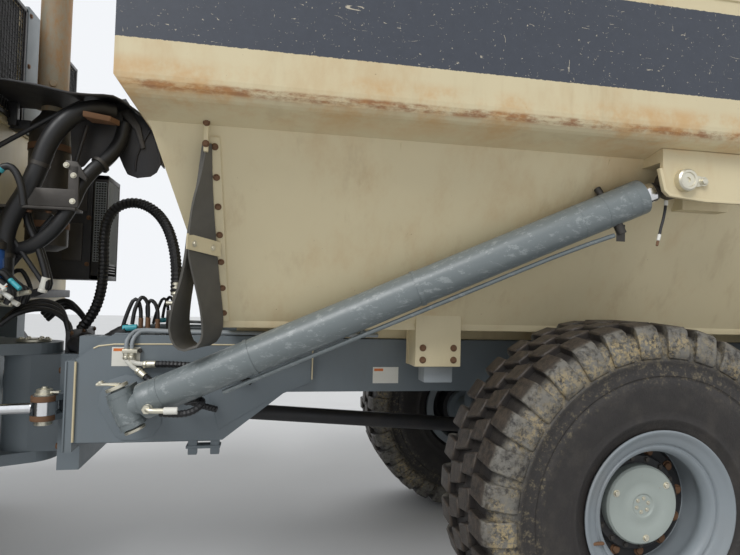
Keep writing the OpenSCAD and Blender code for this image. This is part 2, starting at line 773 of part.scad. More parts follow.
module rear_frame() {
    color(grey) placed() difference() {
        union() {
            both_sides() {
                block([nose_x + plate_t, -rail_y, rail_z], [frame_end_x, -rail_y + rail_w, rail_top]);
                side_slab(nose_outline, -nose_y, -rail_y);
                bar_y(hoist_low[0], hoist_low[2], boss_r, -boss_y, -nose_y);
                bar_y(hoist_low[0], hoist_low[2], swivel_pin_r, -boss_y - swivel_t, -nose_y);
                side_slab([[beam_x - 160, rail_z + 40], [beam_x - 70, beam_z - 80], [beam_x + 70, beam_z - 80],
                    [beam_x + 160, rail_z + 40]], -rail_y - hanger_y, -rail_y);
                bar_y(beam_x, beam_z, beam_pin_r, -beam_out_y - 10, -rail_y);
                bar_y(pivot[0], pivot[1], pivot_pin_r, -575, -rail_y);
                block([-300, -rail_y, 1060], [-180, -rail_y + rail_w, rail_z]);
            }
            block([nose_x, -nose_y - 10, 902], [nose_x + plate_t, nose_y + 10, 1345]);
            bar_x(0, roll_z, roll_r + 60, nose_x + plate_t / 2, nose_x + trunnion_len + 30);
            block([nose_x + plate_t, -rail_y, belly[0]], [bulkhead_x, rail_y, belly[1]]);
            block([bulkhead_x - 30, -rail_y, belly[0]], [bulkhead_x, rail_y, rail_top - 30]);
            for (x = [nose_x + 345, -1500, -700, beam_x - 100, pivot[0] - 60])
                block([x, -rail_y, rail_z + 20], [x + cross_beam, rail_y, rail_top - 30]);
            translate([frame_end_x + lug_reach - 40, 0, rail_z + 60]) rotate([0, 0, 180]) recovery_lug();
            block([frame_end_x - plate_t, -rail_y, rail_z + 20], [frame_end_x, rail_y, rail_top - 30]);
            both_sides() block([frame_end_x - 1, -tail_lamp_y[1], tail_lamp_z[0]],
                [frame_end_x + 36, -tail_lamp_y[0], tail_lamp_z[1]]);
        }
        bar_x(0, roll_z, roll_r + fit, nose_x - 10, nose_x + trunnion_len + 10);
    }
}

module bogie_axle(x) {
    color(grey) placed() translate([x, 0, axle_z]) {
        axle_housing();
        both_sides() block([-pad_half, -beam_out_y, 60], [pad_half, -beam_in_y, pad_z]);
    }
}

module walking_beams() {
    low = axle_z + pad_z + fit;
    color(grey) placed() both_sides() difference() {
        side_slab([[-pad_half, low], [pad_half, low], [beam_x - 180, beam_z - 100], [beam_x + 180, beam_z - 100],
            [rear_x - pad_half, low], [rear_x + pad_half, low], [rear_x + 60, axle_z + 250],
            [beam_x + 120, beam_z + 130], [beam_x - 120, beam_z + 130], [-60, axle_z + 250]],
            -beam_out_y, -beam_in_y);
        bar_y(beam_x, beam_z, beam_pin_r + fit, -beam_out_y - 10, 60 - beam_in_y);
    }
}

prop_r = 46;
prop_z = axle_z + 60;
diff_x = diff_half + fit;
prop_start_z = 985;
flange_plate_r = 80;

// A round bar from one point to another in the centre plane
module centre_bar(from, to, r) {
    d = to - from;
    translate([from[0], 0, from[1]]) rotate([0, 90 - atan2(d[1], d[0]), 0]) cylinder(r = r, h = norm(d));
}

module prop_shafts() {
    color(dark) placed() {
        centre_bar([bulkhead_x + 60, prop_start_z], [-diff_x - 60, prop_z], prop_r);
        bar_x(0, prop_start_z, flange_plate_r, bulkhead_x + fit, bulkhead_x + 100);
        bar_x(0, prop_z, flange_plate_r, -diff_x - 100, -diff_x);
        bar_x(0, prop_z, prop_r, diff_x, rear_x - diff_x);
    }
}

// Dump body

panel_top_y = 1190;
panel_top_z = shelf_z - 30;
flange_r = 70;
body_front = [-1860, -2130, -2215];
kick_x = rear_x + 60;
tail_z = floor_z + 550;
headboard_h = 190;
headboard_t = 60;
kick_slope = (tail_z - floor_z) / (tail_x - 20 - kick_x);
kick_stretch = norm([1, kick_slope]);

// Outline across the body, with the rounded lower edge of the upper side, grown inwards by t
function body_section(t) = concat(
    [[-floor_y + t * 0.6, floor_z + t], [-panel_top_y + t * 1.1, panel_top_z + t * 0.5]],
    [for (a = [90:15:180])
        [-side_y + flange_r + (flange_r - t) * cos(a), shelf_z + flange_r - (flange_r - t) * sin(a)]],
    [[-side_y + t, top_z + t * 10]],
    [[side_y - t, top_z + t * 10]],
    [for (a = [0:15:90]) [side_y - flange_r + (flange_r - t) * cos(a), shelf_z + flange_r - (flange_r - t) * sin(a)]],
    [[panel_top_y - t * 1.1, panel_top_z + t * 0.5], [floor_y - t * 0.6, floor_z + t]]);

// Height inside the thickness of the rising tail floor
function kick_z(x) = floor_z + (x - kick_x) * kick_slope + wall / 2;

function lip_z(t) = tail_z + t * (10 * kick_slope + kick_stretch);

function body_profile(t) = [[body_front[0] + t, floor_z + t], [body_front[1] + t, shelf_z - 50],
    [body_front[2] + t, shelf_z + 60], [body_front[2] + t, top_z + headboard_h + t],
    [body_front[2] + headboard_t + t, top_z + headboard_h + t],
    [body_front[2] + 260, top_z + t * 10], [rear_x + 300, top_z + t * 10], [tail_x - 60, top_z - 260 + t * 10],
    [tail_x + t * 10, lip_z(t) + 60], [tail_x - 20 + t * 10, lip_z(t)],
    [kick_x - t * (kick_stretch - 1) / kick_slope, floor_z + t]];

body_beam_y = 420;
seat_gap = 5;
body_beam_w = 70;
ear_t = 40;
ear_r = 80;
guide_x = [-920, -680];
guide_low = 1350;
guide_t = 40;
cap_r = 50;
ear_y = rail_y + 8;
ear_top = [pivot[0] - 240, pivot[0] + 160];
eye_half = 28;
eye_room = 38;
bracket_t = 20;

// Plate beside the body's hoist eye, seen from the side
bracket_top = panel_top_z + 20;
bracket_outline = [[78, 2290], [100, 2185], [300, 2168], [560, 2168], [560, bracket_top], [78, bracket_top]];

web_z = hoist_high[2] + hoist_eye_r + 18;

module hoist_bracket() {
    outer_y = hoist_high[1] - eye_half - eye_room;
    inner_y = hoist_high[1] + eye_half + eye_room;
    side_slab(bracket_outline, outer_y - bracket_t, outer_y);
    block([bracket_outline[0][0], outer_y - 1, web_z], [560, inner_y, bracket_top]);
    difference() {
        block([hoist_high[0] + 120, inner_y - 1, 2150], [555, -panel_top_y + 100, bracket_top]);
        cross_slab([[-floor_y, floor_z], [-panel_top_y, panel_top_z], [-panel_top_y, panel_top_z + 100],
            [0, panel_top_z + 100], [0, floor_z]], -100, 700);
    }
    bar_y(hoist_high[0], hoist_high[2], cap_r, outer_y - bracket_t - 14, outer_y - bracket_t + 1);
    bar_y(hoist_high[0], hoist_high[2], 30, -panel_top_y + 20, -panel_top_y + 70);
}

module dump_body() {
    color(cream) placed() {
        difference() {
            intersection() {
                cross_slab(body_section(0), body_front[2] - 100, tail_x + 100);
                side_slab(body_profile(0), -side_y - 10, side_y + 10);
            }
            intersection() {
                cross_slab(body_section(wall), body_front[2] - 100, tail_x + 1000);
                side_slab(body_profile(wall), -side_y, side_y);
            }
        }
        both_sides() {
            block([body_front[0] + 60, -body_beam_y - body_beam_w, rail_top + seat_gap],
                [kick_x, -body_beam_y, floor_z + 5]);
            difference() {
                side_slab([[pivot[0] - ear_r, pivot[1]], [ear_top[0], kick_z(ear_top[0])],
                    [ear_top[1], kick_z(ear_top[1])], [pivot[0] + ear_r, pivot[1]]], -ear_y - ear_t, -ear_y);
                bar_y(pivot[0], pivot[1], pivot_pin_r + fit, -700, 0);
            }
            difference() {
                bar_y(pivot[0], pivot[1], ear_r, -ear_y - ear_t, -ear_y);
                bar_y(pivot[0], pivot[1], pivot_pin_r + fit, -700, 0);
            }
            block([guide_x[0], -floor_y + 100, guide_low], [guide_x[1], -floor_y + 100 + guide_t, floor_z + 5]);
            hoist_bracket();
        }
    }
}

flap_t = 14;
flap_lean = atan2(panel_top_y - floor_y, panel_top_z - floor_z);

// Rubber flap on the slanting panel's front edge, drawn in the panel's own plane
module spill_flap_at(side) {
    color(rubber) placed() on_side(side) translate([0, -floor_y, floor_z]) rotate([flap_lean, 0, 0])
        side_slab([[-1960, 860], [-1915, 870], [-1870, 200], [-1890, -40], [-1950, -90], [-2010, -40],
            [-2000, 150]], -flap_t - fit, -fit);
}

// Hoist cylinders. Each barrel hangs in a swivel that turns on the frame's boss
hoist_span = hoist_high - hoist_low;
hoist_flat = norm([hoist_span[0], hoist_span[2]]);
hoist_len = norm(hoist_span);
hoist_rise = atan2(hoist_span[2], hoist_span[0]);
hoist_splay = atan2(hoist_span[1], hoist_flat);

module hoist_swing() {
    translate(hoist_low) rotate([0, -hoist_rise, 0]) children();
}
module hoist_line() {
    hoist_swing() rotate([0, 0, hoist_splay]) children();
}

ear_gap = 62;
ear_h = 28;
swivel_r = 80;
swivel_ear_r = 58;
barrel_x = 85;
bore_x = 150;
barrel_end = hoist_len - 150;
rod_x = 170;
rod_end = hoist_len - 130;

module hoist_swivel() {
    reach = -hoist_low[1] - boss_y - fit;
    hoist_swing() difference() {
        union() {
            translate([0, reach, 0]) rotate([90, 0, 0]) cylinder(r = swivel_r, h = swivel_t);
            for (z = [-ear_gap - ear_h, ear_gap]) translate([0, 0, z]) {
                cylinder(r = swivel_ear_r, h = ear_h);
                translate([-swivel_ear_r, 0, 0]) cube([2 * swivel_ear_r, reach - 10, ear_h]);
            }
            translate([0, 0, -ear_gap - ear_h - 8]) cylinder(r = hoist_pin_r, h = 2 * (ear_gap + ear_h + 8));
        }
        translate([0, reach + 1, 0]) rotate([90, 0, 0]) cylinder(r = swivel_pin_r + fit, h = swivel_t + 1 + fit);
    }
}

module hoist_barrel() {
    hoist_line() difference() {
        union() {
            translate([0, 0, fit - ear_gap]) cylinder(r = hoist_eye_r, h = 2 * (ear_gap - fit));
            translate([30, 0, 0]) rotate([0, 90, 0]) cylinder(r = ear_gap - 8, h = 60);
            translate([barrel_x, 0, 0]) rotate([0, 90, 0]) cylinder(r = hoist_r, h = barrel_end - barrel_x);
        }
        translate([0, 0, -ear_gap]) cylinder(r = hoist_pin_r + fit, h = 2 * ear_gap);
        translate([bore_x, 0, 0]) rotate([0, 90, 0]) cylinder(r = hoist_rod_r + fit, h = hoist_len);
    }
}

module hoist_rod() {
    hoist_line() difference() {
        union() {
            translate([rod_x, 0, 0]) rotate([0, 90, 0]) cylinder(r = hoist_rod_r, h = rod_end - rod_x);
            intersection() {
                translate([rod_end - 1, 0, 0]) rotate([0, 90, 0])
                    cylinder(r = hoist_rod_r, h = hoist_len - 39 - rod_end);
                translate([hoist_len, 0, 0]) cube([400, 2 * eye_half - 1, 200], center = true);
            }
            translate([hoist_len, 0, 0]) rotate([90, 0, -hoist_splay])
                cylinder(r = hoist_eye_r + 6, h = 2 * eye_half, center = true);
        }
        translate([hoist_len, 0, 0]) rotate([90, 0, -hoist_splay])
            cylinder(r = hoist_pin_r + 6, h = 2 * eye_half + 10, center = true);
    }
}

module hoist_swivel_at(side) { color(grey) placed() on_side(side) hoist_swivel(); }
module hoist_barrel_at(side) { color(grey) placed() on_side(side) hoist_barrel(); }
module hoist_rod_at(side) { color(steel) placed() on_side(side) hoist_rod(); }

tractor_frame();
front_bumper();
front_axle();
cab_shell();
cab_glass();
cab_interior();
cab_door();
bonnet();
engine();
front_fenders();
ladder();
fuel_tank();
exhaust_stack();
rear_shield();
oil_cooler();
intake_pipes();
mirrors();
hitch_yoke();
steer_barrel_at(-1);  // steer_barrel_left
steer_barrel_at(1);  // steer_barrel_right
steer_rod_at(-1);  // steer_rod_left
steer_rod_at(1);  // steer_rod_right
rear_frame();
bogie_axle(0);  // axle_front_bogie
bogie_axle(rear_x);  // axle_rear_bogie
walking_beams();
prop_shafts();
dump_body();
spill_flap_at(-1);  // spill_flap_left
spill_flap_at(1);  // spill_flap_right
hoist_swivel_at(-1);  // hoist_swivel_left
hoist_swivel_at(1);  // hoist_swivel_right
hoist_barrel_at(-1);  // hoist_barrel_left
hoist_barrel_at(1);  // hoist_barrel_right
hoist_rod_at(-1);  // hoist_rod_left
hoist_rod_at(1);  // hoist_rod_right
tyre_at(front_x, -1);  // tyre_front_left
tyre_at(front_x, 1);  // tyre_front_right
tyre_at(0, -1);  // tyre_mid_left
tyre_at(0, 1);  // tyre_mid_right
tyre_at(rear_x, -1);  // tyre_rear_left
tyre_at(rear_x, 1);  // tyre_rear_right
rim_at(front_x, -1);  // rim_front_left
rim_at(front_x, 1);  // rim_front_right
rim_at(0, -1);  // rim_mid_left
rim_at(0, 1);  // rim_mid_right
rim_at(rear_x, -1);  // rim_rear_left
rim_at(rear_x, 1);  // rim_rear_right
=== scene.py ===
"""Articulated dump truck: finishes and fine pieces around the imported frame.

All measures are metres. The nose points to -x and the left side to -y. Lengthwise places are written from the front
bogie axle, and AXLE_X moves them to the frame.
"""

import math
import random

import bpy
from mathutils import Matrix, Vector


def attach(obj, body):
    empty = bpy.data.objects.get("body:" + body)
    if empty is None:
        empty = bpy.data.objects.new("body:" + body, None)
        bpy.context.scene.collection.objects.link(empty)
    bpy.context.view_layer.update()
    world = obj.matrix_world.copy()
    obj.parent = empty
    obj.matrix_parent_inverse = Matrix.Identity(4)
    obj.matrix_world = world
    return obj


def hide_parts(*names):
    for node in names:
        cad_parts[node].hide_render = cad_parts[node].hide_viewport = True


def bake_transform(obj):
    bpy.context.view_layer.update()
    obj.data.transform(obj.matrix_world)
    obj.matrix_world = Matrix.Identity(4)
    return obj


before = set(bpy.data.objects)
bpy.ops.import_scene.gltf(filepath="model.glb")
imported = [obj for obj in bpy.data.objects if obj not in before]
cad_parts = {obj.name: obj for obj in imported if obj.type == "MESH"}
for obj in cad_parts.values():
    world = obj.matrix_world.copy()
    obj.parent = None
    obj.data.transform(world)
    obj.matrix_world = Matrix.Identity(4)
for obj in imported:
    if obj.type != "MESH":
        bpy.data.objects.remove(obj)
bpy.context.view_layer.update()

bl_info = {
    "name": "Articulated Dump Truck",
    "version": (1, 0, 0),
    "blender": (4, 5, 0),
    "location": "View3D > Sidebar > Dump Truck",
    "description": "Finishes and fine pieces of an articulated dump truck",
    "category": "Object",
}

AXLE_X = 1.6
FRONT_AXLE, BOGIE_GAP, AXLE_Z = -4.3, 1.7, 0.805
WHEEL_Y = 1.15
PIVOT_X = -2.95
CAB_BACK, CAB_SIDE = -3.04, 0.752
SIDES = (("left", -1), ("right", 1))
AXIS = {"x": Vector((1, 0, 0)), "y": Vector((0, 1, 0)), "z": Vector((0, 0, 1))}
UP, DOWN, AHEAD, BEHIND, LEFTWARD = (0, 0, 1), (0, 0, -1), (-1, 0, 0), (1, 0, 0), (0, -1, 0)


def at(x, y, z):
    """A place written from the front bogie axle, in the frame's own measures."""
    return Vector((x + AXLE_X, y, z))


class Measures(bpy.types.PropertyGroup):
    """Sizes of the fine pieces"""

    tyre_radius: bpy.props.FloatProperty(
        name="Tyre radius", description="Radius over the tread blocks", default=0.805, unit="LENGTH")
    tyre_width: bpy.props.FloatProperty(
        name="Tyre width", description="Width over the shoulder lugs", default=0.59, unit="LENGTH")
    groove: bpy.props.FloatProperty(
        name="Groove depth", description="Depth between the tread blocks", default=0.036, unit="LENGTH")
    lugs: bpy.props.IntProperty(name="Lugs", description="Shoulder lugs round each side", default=33)
    hose: bpy.props.FloatProperty(
        name="Hose radius", description="Radius of a hydraulic hose in its guard", default=0.017, unit="LENGTH")
    conduit: bpy.props.FloatProperty(
        name="Conduit radius", description="Radius of the corrugated conduit", default=0.031, unit="LENGTH")
    mesh_pitch: bpy.props.FloatProperty(
        name="Guard pitch", description="Distance between the wires of a window guard", default=0.03, unit="LENGTH")


class Colours(bpy.types.PropertyGroup):
    """Colours of the finishes"""

    cream: bpy.props.FloatVectorProperty(
        name="Cream paint", description="Body and cab", default=(0.72, 0.62, 0.4), subtype="COLOR")
    grey: bpy.props.FloatVectorProperty(
        name="Grey paint", description="Frames, axles and cylinders", default=(0.165, 0.195, 0.215), subtype="COLOR")
    band: bpy.props.FloatVectorProperty(
        name="Side band", description="Dark band along the body's upper side", default=(0.04, 0.046, 0.06),
        subtype="COLOR")
    # Black paint, also used as painted shade on the wheels' hub drums.
    black: bpy.props.FloatVectorProperty(
        name="Black paint", description="Brackets, shield and bonnet", default=(0.022, 0.022, 0.024), subtype="COLOR")
    rubber: bpy.props.FloatVectorProperty(
        name="Rubber", description="Tyre sidewalls and hoses", default=(0.013, 0.011, 0.01), subtype="COLOR")
    mud: bpy.props.FloatVectorProperty(
        name="Dried mud", description="Mud on the shoulder lugs", default=(0.4, 0.31, 0.16), subtype="COLOR")
    rust: bpy.props.FloatVectorProperty(
        name="Rust", description="Rust along bends and at chips", default=(0.3, 0.105, 0.03), subtype="COLOR")
    hub: bpy.props.FloatVectorProperty(
        name="Hub cover", description="Pale covers in the wheels", default=(0.36, 0.4, 0.37), subtype="COLOR")


def sizes():
    return bpy.context.scene.truck_measures


def colours():
    return bpy.context.scene.truck_colours


# Finishes


class Wire:
    """One output of a shader node, which takes part in sums as a number does."""

    def __init__(self, finish, out):
        self.finish, self.out = finish, out

    def _sum(self, operation, a, b):
        return self.finish.node("ShaderNodeMath", {"operation": operation}, {0: a, 1: b})

    def __add__(self, other):
        return self._sum("ADD", self, other)

    def __radd__(self, other):
        return self._sum("ADD", other, self)

    def __sub__(self, other):
        return self._sum("SUBTRACT", self, other)

    def __rsub__(self, other):
        return self._sum("SUBTRACT", other, self)

    def __mul__(self, other):
        return self._sum("MULTIPLY", self, other)

    def __rmul__(self, other):
        return self._sum("MULTIPLY", other, self)

    def __truediv__(self, other):
        return self._sum("DIVIDE", self, other)

    def __abs__(self):
        return self._sum("ABSOLUTE", self, 0.0)

    def above(self, edge, soft):
        """0 below the edge, 1 over it, with a soft rise."""
        return self.finish.node("ShaderNodeMapRange", {"interpolation_type": "SMOOTHSTEP"},
                                {"Value": self, "From Min": edge - soft, "From Max": edge + soft})

    def below(self, edge, soft):
        return 1 - self.above(edge, soft)

    def most(self, other):
        return self._sum("MAXIMUM", self, other)


FINISHES = {}


class Finish:
    """A material under construction, kept in FINISHES under its name."""

    def __init__(self, name):
        self.material = FINISHES[name] = bpy.data.materials.new(name)
        self.material.use_nodes = True
        self.tree = self.material.node_tree
        self.shader = self.tree.nodes["Principled BSDF"]

    def node(self, kind, settings=None, values=None, out=0):
        made = self.tree.nodes.new(kind)
        for key, value in (settings or {}).items():
            setattr(made, key, value)
        for key, value in (values or {}).items():
            self.feed(made.inputs[key], value)
        return Wire(self, made.outputs[out])

    def feed(self, socket, value):
        if isinstance(value, Wire):
            self.tree.links.new(value.out, socket)
        elif isinstance(value, (tuple, list)) and socket.type == "RGBA":
            socket.default_value = (*value[:3], 1)
        else:
            socket.default_value = value

    def place(self, scale=(1, 1, 1), turn=(0, 0, 0)):
        spot = self.node("ShaderNodeTexCoord", out=3)
        return self.node("ShaderNodeMapping", {}, {"Vector": spot, "Scale": scale, "Rotation": turn})

    def along(self, axis):
        spot = self.node("ShaderNodeTexCoord", out=3)
        return self.node("ShaderNodeSeparateXYZ", {}, {0: spot}, out="xyz".index(axis))

    def noise(self, scale, detail=3.0, rough=0.55, stretch=(1, 1, 1), turn=(0, 0, 0), twist=0.0):
        return self.node("ShaderNodeTexNoise", {}, {"Vector": self.place(stretch, turn), "Scale": scale,
                                                    "Detail": detail, "Roughness": rough, "Distortion": twist})

    def mix(self, share, first, second):
        made = self.tree.nodes.new("ShaderNodeMix")
        made.data_type = "RGBA"
        self.feed(made.inputs[0], share)
        self.feed(made.inputs[6], first)
        self.feed(made.inputs[7], second)
        return Wire(self, made.outputs[2])

    def bump(self, height, strength=0.3, reach=0.002):
        return self.node("ShaderNodeBump", {}, {"Height": height, "Strength": strength, "Distance": reach})

    def set(self, **values):
        names = {"colour": "Base Color", "rough": "Roughness", "metal": "Metallic", "coat": "Coat Weight",
                 "normal": "Normal", "alpha": "Alpha", "index": "IOR", "coat_rough": "Coat Roughness"}
        for key, value in values.items():
            self.feed(self.shader.inputs[names[key]], value)


def tone(colour, factor):
    """A colour made lighter or darker."""
    return tuple(min(1.0, c * factor) for c in colour)


def painted(name, base, wear=0.5, rough=0.45, dirt=(0.2, 0.15, 0.09)):
    """Weathered paint: a faded ground, dirt films, small chips and a fine grain."""
    c = colours()
    f = Finish(name)
    cloud = f.noise(1.7, 4.0, 0.6).above(0.52, 0.22)
    colour = f.mix(cloud * 0.35, base, tone(base, 0.8))
    film = f.noise(5.0, 6.0, 0.65, (1, 1, 0.35)).above(0.6, 0.16)
    colour = f.mix(film * (0.3 * wear), colour, dirt)
    grain = f.noise(90.0, 3.0, 0.7)
    chips = f.noise(38.0, 5.0, 0.75).above(0.74 - 0.04 * wear, 0.02)
    colour = f.mix(chips * 0.75, colour, tone(c.rust, 0.8))
    colour = f.mix((grain - 0.5) * 0.1 + 0.05, colour, tone(base, 1.3))
    f.set(colour=colour, rough=f.noise(12.0, 4.0, 0.6) * 0.25 + (rough - 0.1),
          normal=f.bump(grain * 0.3 + f.noise(9.0, 3.0) * 0.7, 0.12, 0.004))


def body_finish():
    """Cream body with its dark side band, scratches, and rust along the bends."""
    c = colours()
    cream, rust = tuple(c.cream), tuple(c.rust)
    f = Finish("cream_body")
    high, across = f.along("z"), abs(f.along("y"))
    cloud = f.noise(1.1, 5.0, 0.6).above(0.5, 0.25)
    colour = f.mix(cloud * 0.45, cream, tone(cream, 0.82))
    stain = f.noise(2.3, 6.0, 0.7, (1, 1, 0.5)).above(0.6, 0.12)
    colour = f.mix(stain * 0.35, colour, (0.52, 0.3, 0.11))
    streak = f.noise(5.0, 5.0, 0.7, (1, 1, 0.12)).above(0.62, 0.08)
    colour = f.mix(streak * 0.22, colour, (0.4, 0.26, 0.12))
    spots = f.noise(46.0, 4.0, 0.7).above(0.735, 0.02)
    colour = f.mix(spots * 0.85, colour, tone(rust, 0.55))
    bend = (1 - abs(high - 2.437) / 0.02).above(0.25, 0.35) * f.noise(7.0, 6.0, 0.75, (1, 1, 3)).above(0.5, 0.1)
    colour = f.mix(bend * 0.85, colour, rust)
    blur = (1 - abs(high - 2.455) / 0.1).above(0.3, 0.3) * f.noise(3.0, 5.0, 0.7).above(0.52, 0.12)
    colour = f.mix(blur * 0.55, colour, (0.6, 0.29, 0.07))
    edge = high + f.noise(60.0, 3.0, 0.7) * 0.01
    band = edge.above(2.604, 0.0012) * edge.below(2.985, 0.0012) * across.above(1.4, 0.004)
    scratch = f.noise(9.0, 4.0, 0.75, (1, 1, 4.5), (0, 0.62, 0), 1.5).above(0.675, 0.012)
    scuff = f.noise(13.0, 4.0, 0.8, (4.5, 1, 1), (0, -0.75, 0), 1.0).above(0.685, 0.012)
    fleck = f.noise(75.0, 3.0, 0.6).above(0.7, 0.02)
    worn = scratch.most(scuff).most(fleck)
    dark = f.mix(f.noise(30.0, 5.0, 0.7) * 0.5, tuple(c.band), tone(c.band, 1.9))
    dark = f.mix(worn * 0.85, dark, (0.62, 0.55, 0.42))
    colour = f.mix(band, colour, dark)
    f.set(colour=colour, rough=f.noise(8.0, 4.0, 0.6) * 0.3 + 0.32,
          normal=f.bump(f.noise(2.2, 2.0) * 0.8 + f.noise(80.0, 2.0) * 0.06, 0.16, 0.01))


def tread_finish():
    """Black rubber with brown tread tops and pale dried mud on the shoulders, by distance from the wheel's axle."""
    c = colours()
    f = Finish("tyre_rubber")
    spot = f.node("ShaderNodeAttribute", {"attribute_name": "wheel_place"}, out=1)
    radius = f.node("ShaderNodeSeparateXYZ", {}, {0: spot}, out=0)
    across = f.node("ShaderNodeSeparateXYZ", {}, {0: spot}, out=1)
    ground = f.mix(f.noise(14.0, 5.0, 0.7), tuple(c.rubber), tone(c.rubber, 2.2))
    tops = radius.above(0.792, 0.003)
    crust = f.mix(f.noise(30.0, 6.0, 0.8).above(0.5, 0.12), (0.02, 0.016, 0.013), (0.07, 0.052, 0.038))
    ground = f.mix(tops * 0.85, ground, crust)
    shoulder = across.above(0.235, 0.02) * radius.above(0.665, 0.03) * (1 - radius.above(0.796, 0.004))
    grey = f.noise(26.0, 5.0, 0.75).above(0.46, 0.12)
    ground = f.mix(shoulder * grey * 0.8, ground, (0.2, 0.19, 0.165))
    patch = f.noise(3.2, 3.0, 0.6).above(0.5, 0.1)
    mud = f.noise(48.0, 6.0, 0.85).above(0.52, 0.05) * radius.below(0.768, 0.03) * patch
    ground = f.mix(shoulder * mud * 0.9, ground, tuple(c.mud))
    wall = across.above(0.2, 0.03) * radius.above(0.55, 0.03) * radius.below(0.69, 0.02)
    ground = f.mix(wall * f.noise(40.0, 6.0, 0.85).above(0.58, 0.06) * 0.6, ground, (0.22, 0.18, 0.11))
    dust = f.noise(9.0, 6.0, 0.7).above(0.56, 0.1)
    ground = f.mix(dust * 0.22, ground, (0.085, 0.072, 0.058))
    f.set(colour=ground, rough=f.noise(22.0, 4.0) * 0.25 + 0.42,
          normal=f.bump(f.noise(60.0, 6.0, 0.75), 0.45, 0.008))


def plain(name, colour, rough, metal=0.0, grain=0.15, scale=60.0, spread=0.25):
    """A plain finish with slight variation and grain."""
    f = Finish(name)
    cloud = f.noise(scale * 0.12, 4.0, 0.65)
    f.set(colour=f.mix(cloud.above(0.5, 0.2) * spread * 2, colour, tone(colour, 1.6)),
          rough=f.noise(scale * 0.4, 3.0) * 0.2 + (rough - 0.1), metal=metal,
          normal=f.bump(f.noise(scale, 4.0, 0.7), grain, 0.002))


def make_finishes():
    c = colours()
    body_finish()
    tread_finish()
    painted("cream_paint", tuple(c.cream), 0.6, 0.42)
    painted("grey_paint", tuple(c.grey), 0.55, 0.46, (0.12, 0.11, 0.09))
    painted("light_grey_paint", (0.3, 0.33, 0.35), 0.5, 0.42)
    # Black paint, also used as painted shade on the wheels' hub drums.
    painted("black_paint", tuple(c.black), 0.9, 0.5, (0.085, 0.062, 0.045))
    painted("bonnet_grey", (0.045, 0.048, 0.052), 0.7, 0.45)
    painted("hub_cover", tuple(c.hub), 0.5, 0.5)
    painted("wheel_grey", (0.24, 0.27, 0.29), 0.6, 0.45)
    f = Finish("cylinder_grey")
    wear = f.noise(55.0, 5.0, 0.8, (0.25, 1, 0.6), (0, 0.42, 0)).above(0.58, 0.05)
    colour = f.mix(f.noise(3.0, 4.0) * 0.5, (0.155, 0.18, 0.185), (0.22, 0.25, 0.255))
    colour = f.mix(wear * 0.55, colour, (0.36, 0.39, 0.39))
    colour = f.mix(f.noise(40.0, 5.0, 0.8).above(0.74, 0.02) * 0.8, colour, tone(c.rust, 0.5))
    f.set(colour=colour, rough=f.noise(30.0, 4.0) * 0.25 + 0.25, coat=0.15, coat_rough=0.3,
          normal=f.bump(f.noise(70.0, 4.0, 0.8), 0.15, 0.002))
    f = Finish("exhaust_steel")
    rust = f.noise(6.0, 6.0, 0.75, (1, 1, 0.4)).above(0.5, 0.14)
    colour = f.mix(rust, (0.3, 0.27, 0.2), (0.36, 0.19, 0.07))
    f.set(colour=colour, rough=0.62, metal=0.15, normal=f.bump(f.noise(60.0, 5.0, 0.8), 0.25, 0.003))
    plain("hose_rubber", (0.012, 0.012, 0.013), 0.45, spread=0.1)
    plain("flap_rubber", (0.085, 0.08, 0.07), 0.55, scale=25.0, spread=0.35)
    plain("chrome", (0.75, 0.76, 0.78), 0.16, 1.0, 0.02)
    plain("zinc", (0.58, 0.55, 0.45), 0.38, 0.8, 0.08)
    plain("dark_steel", (0.06, 0.055, 0.05), 0.48, 0.6, 0.25)
    plain("rusty_steel", (0.16, 0.085, 0.045), 0.75, 0.2, 0.4)
    plain("interior_trim", (0.03, 0.03, 0.033), 0.62, grain=0.3)
    plain("seat_cloth", (0.04, 0.042, 0.048), 0.88, grain=0.5, scale=160.0)
    plain("filter_blue", (0.03, 0.11, 0.36), 0.35, spread=0.1)
    plain("label_white", (0.78, 0.76, 0.68), 0.45, spread=0.08, grain=0.03)
    plain("cable_white", (0.62, 0.62, 0.58), 0.45, grain=0.05)
    plain("cable_blue", (0.05, 0.36, 0.42), 0.4, grain=0.05)
    plain("cable_orange", (0.62, 0.16, 0.03), 0.42, grain=0.05)
    for name, colour in (("lens_red", (0.45, 0.01, 0.01)), ("lens_amber", (0.75, 0.24, 0.02)),
                         ("lens_clear", (0.8, 0.82, 0.84))):
        f = Finish(name)
        ribs = f.node("ShaderNodeTexWave", {}, {"Vector": f.place(), "Scale": 28.0, "Distortion": 0.0})
        f.set(colour=colour, rough=0.12, coat=0.6, normal=f.bump(ribs, 0.15, 0.002))
    f = Finish("cab_glass")
    dust = f.noise(2.2, 4.0, 0.6).above(0.55, 0.25)
    f.set(colour=(0.2, 0.24, 0.25), rough=dust * 0.05 + 0.03, alpha=dust * 0.06 + 0.26, index=1.45)
    f.material.surface_render_method = "BLENDED"


# Tools that shape the pieces


def clear():
    """Leaves edit mode and deselects everything."""
    if bpy.context.object and bpy.context.object.mode != "OBJECT":
        bpy.ops.object.mode_set(mode="OBJECT")
    bpy.ops.object.select_all(action="DESELECT")


def take(*things):
    """Selects only these things, the first one active."""
    clear()
    for thing in things:
        thing.select_set(True)
    bpy.context.view_layer.objects.active = things[0]
    return things[0]


def edit_all():
    bpy.ops.object.mode_set(mode="EDIT")
    bpy.ops.mesh.select_all(action="SELECT")


def done():
    bpy.ops.object.mode_set(mode="OBJECT")
    return bpy.context.object


def named(name):
    thing = bpy.context.object
    thing.name = thing.data.name = name
    return thing


def finish_with(thing, finish, smooth=35):
    """Gives a piece its finish and shades its rounded faces smoothly."""
    thing.data.materials.clear()
    thing.data.materials.append(FINISHES[finish])
    take(thing)
    bpy.ops.object.shade_smooth_by_angle(angle=math.radians(smooth))
    return thing


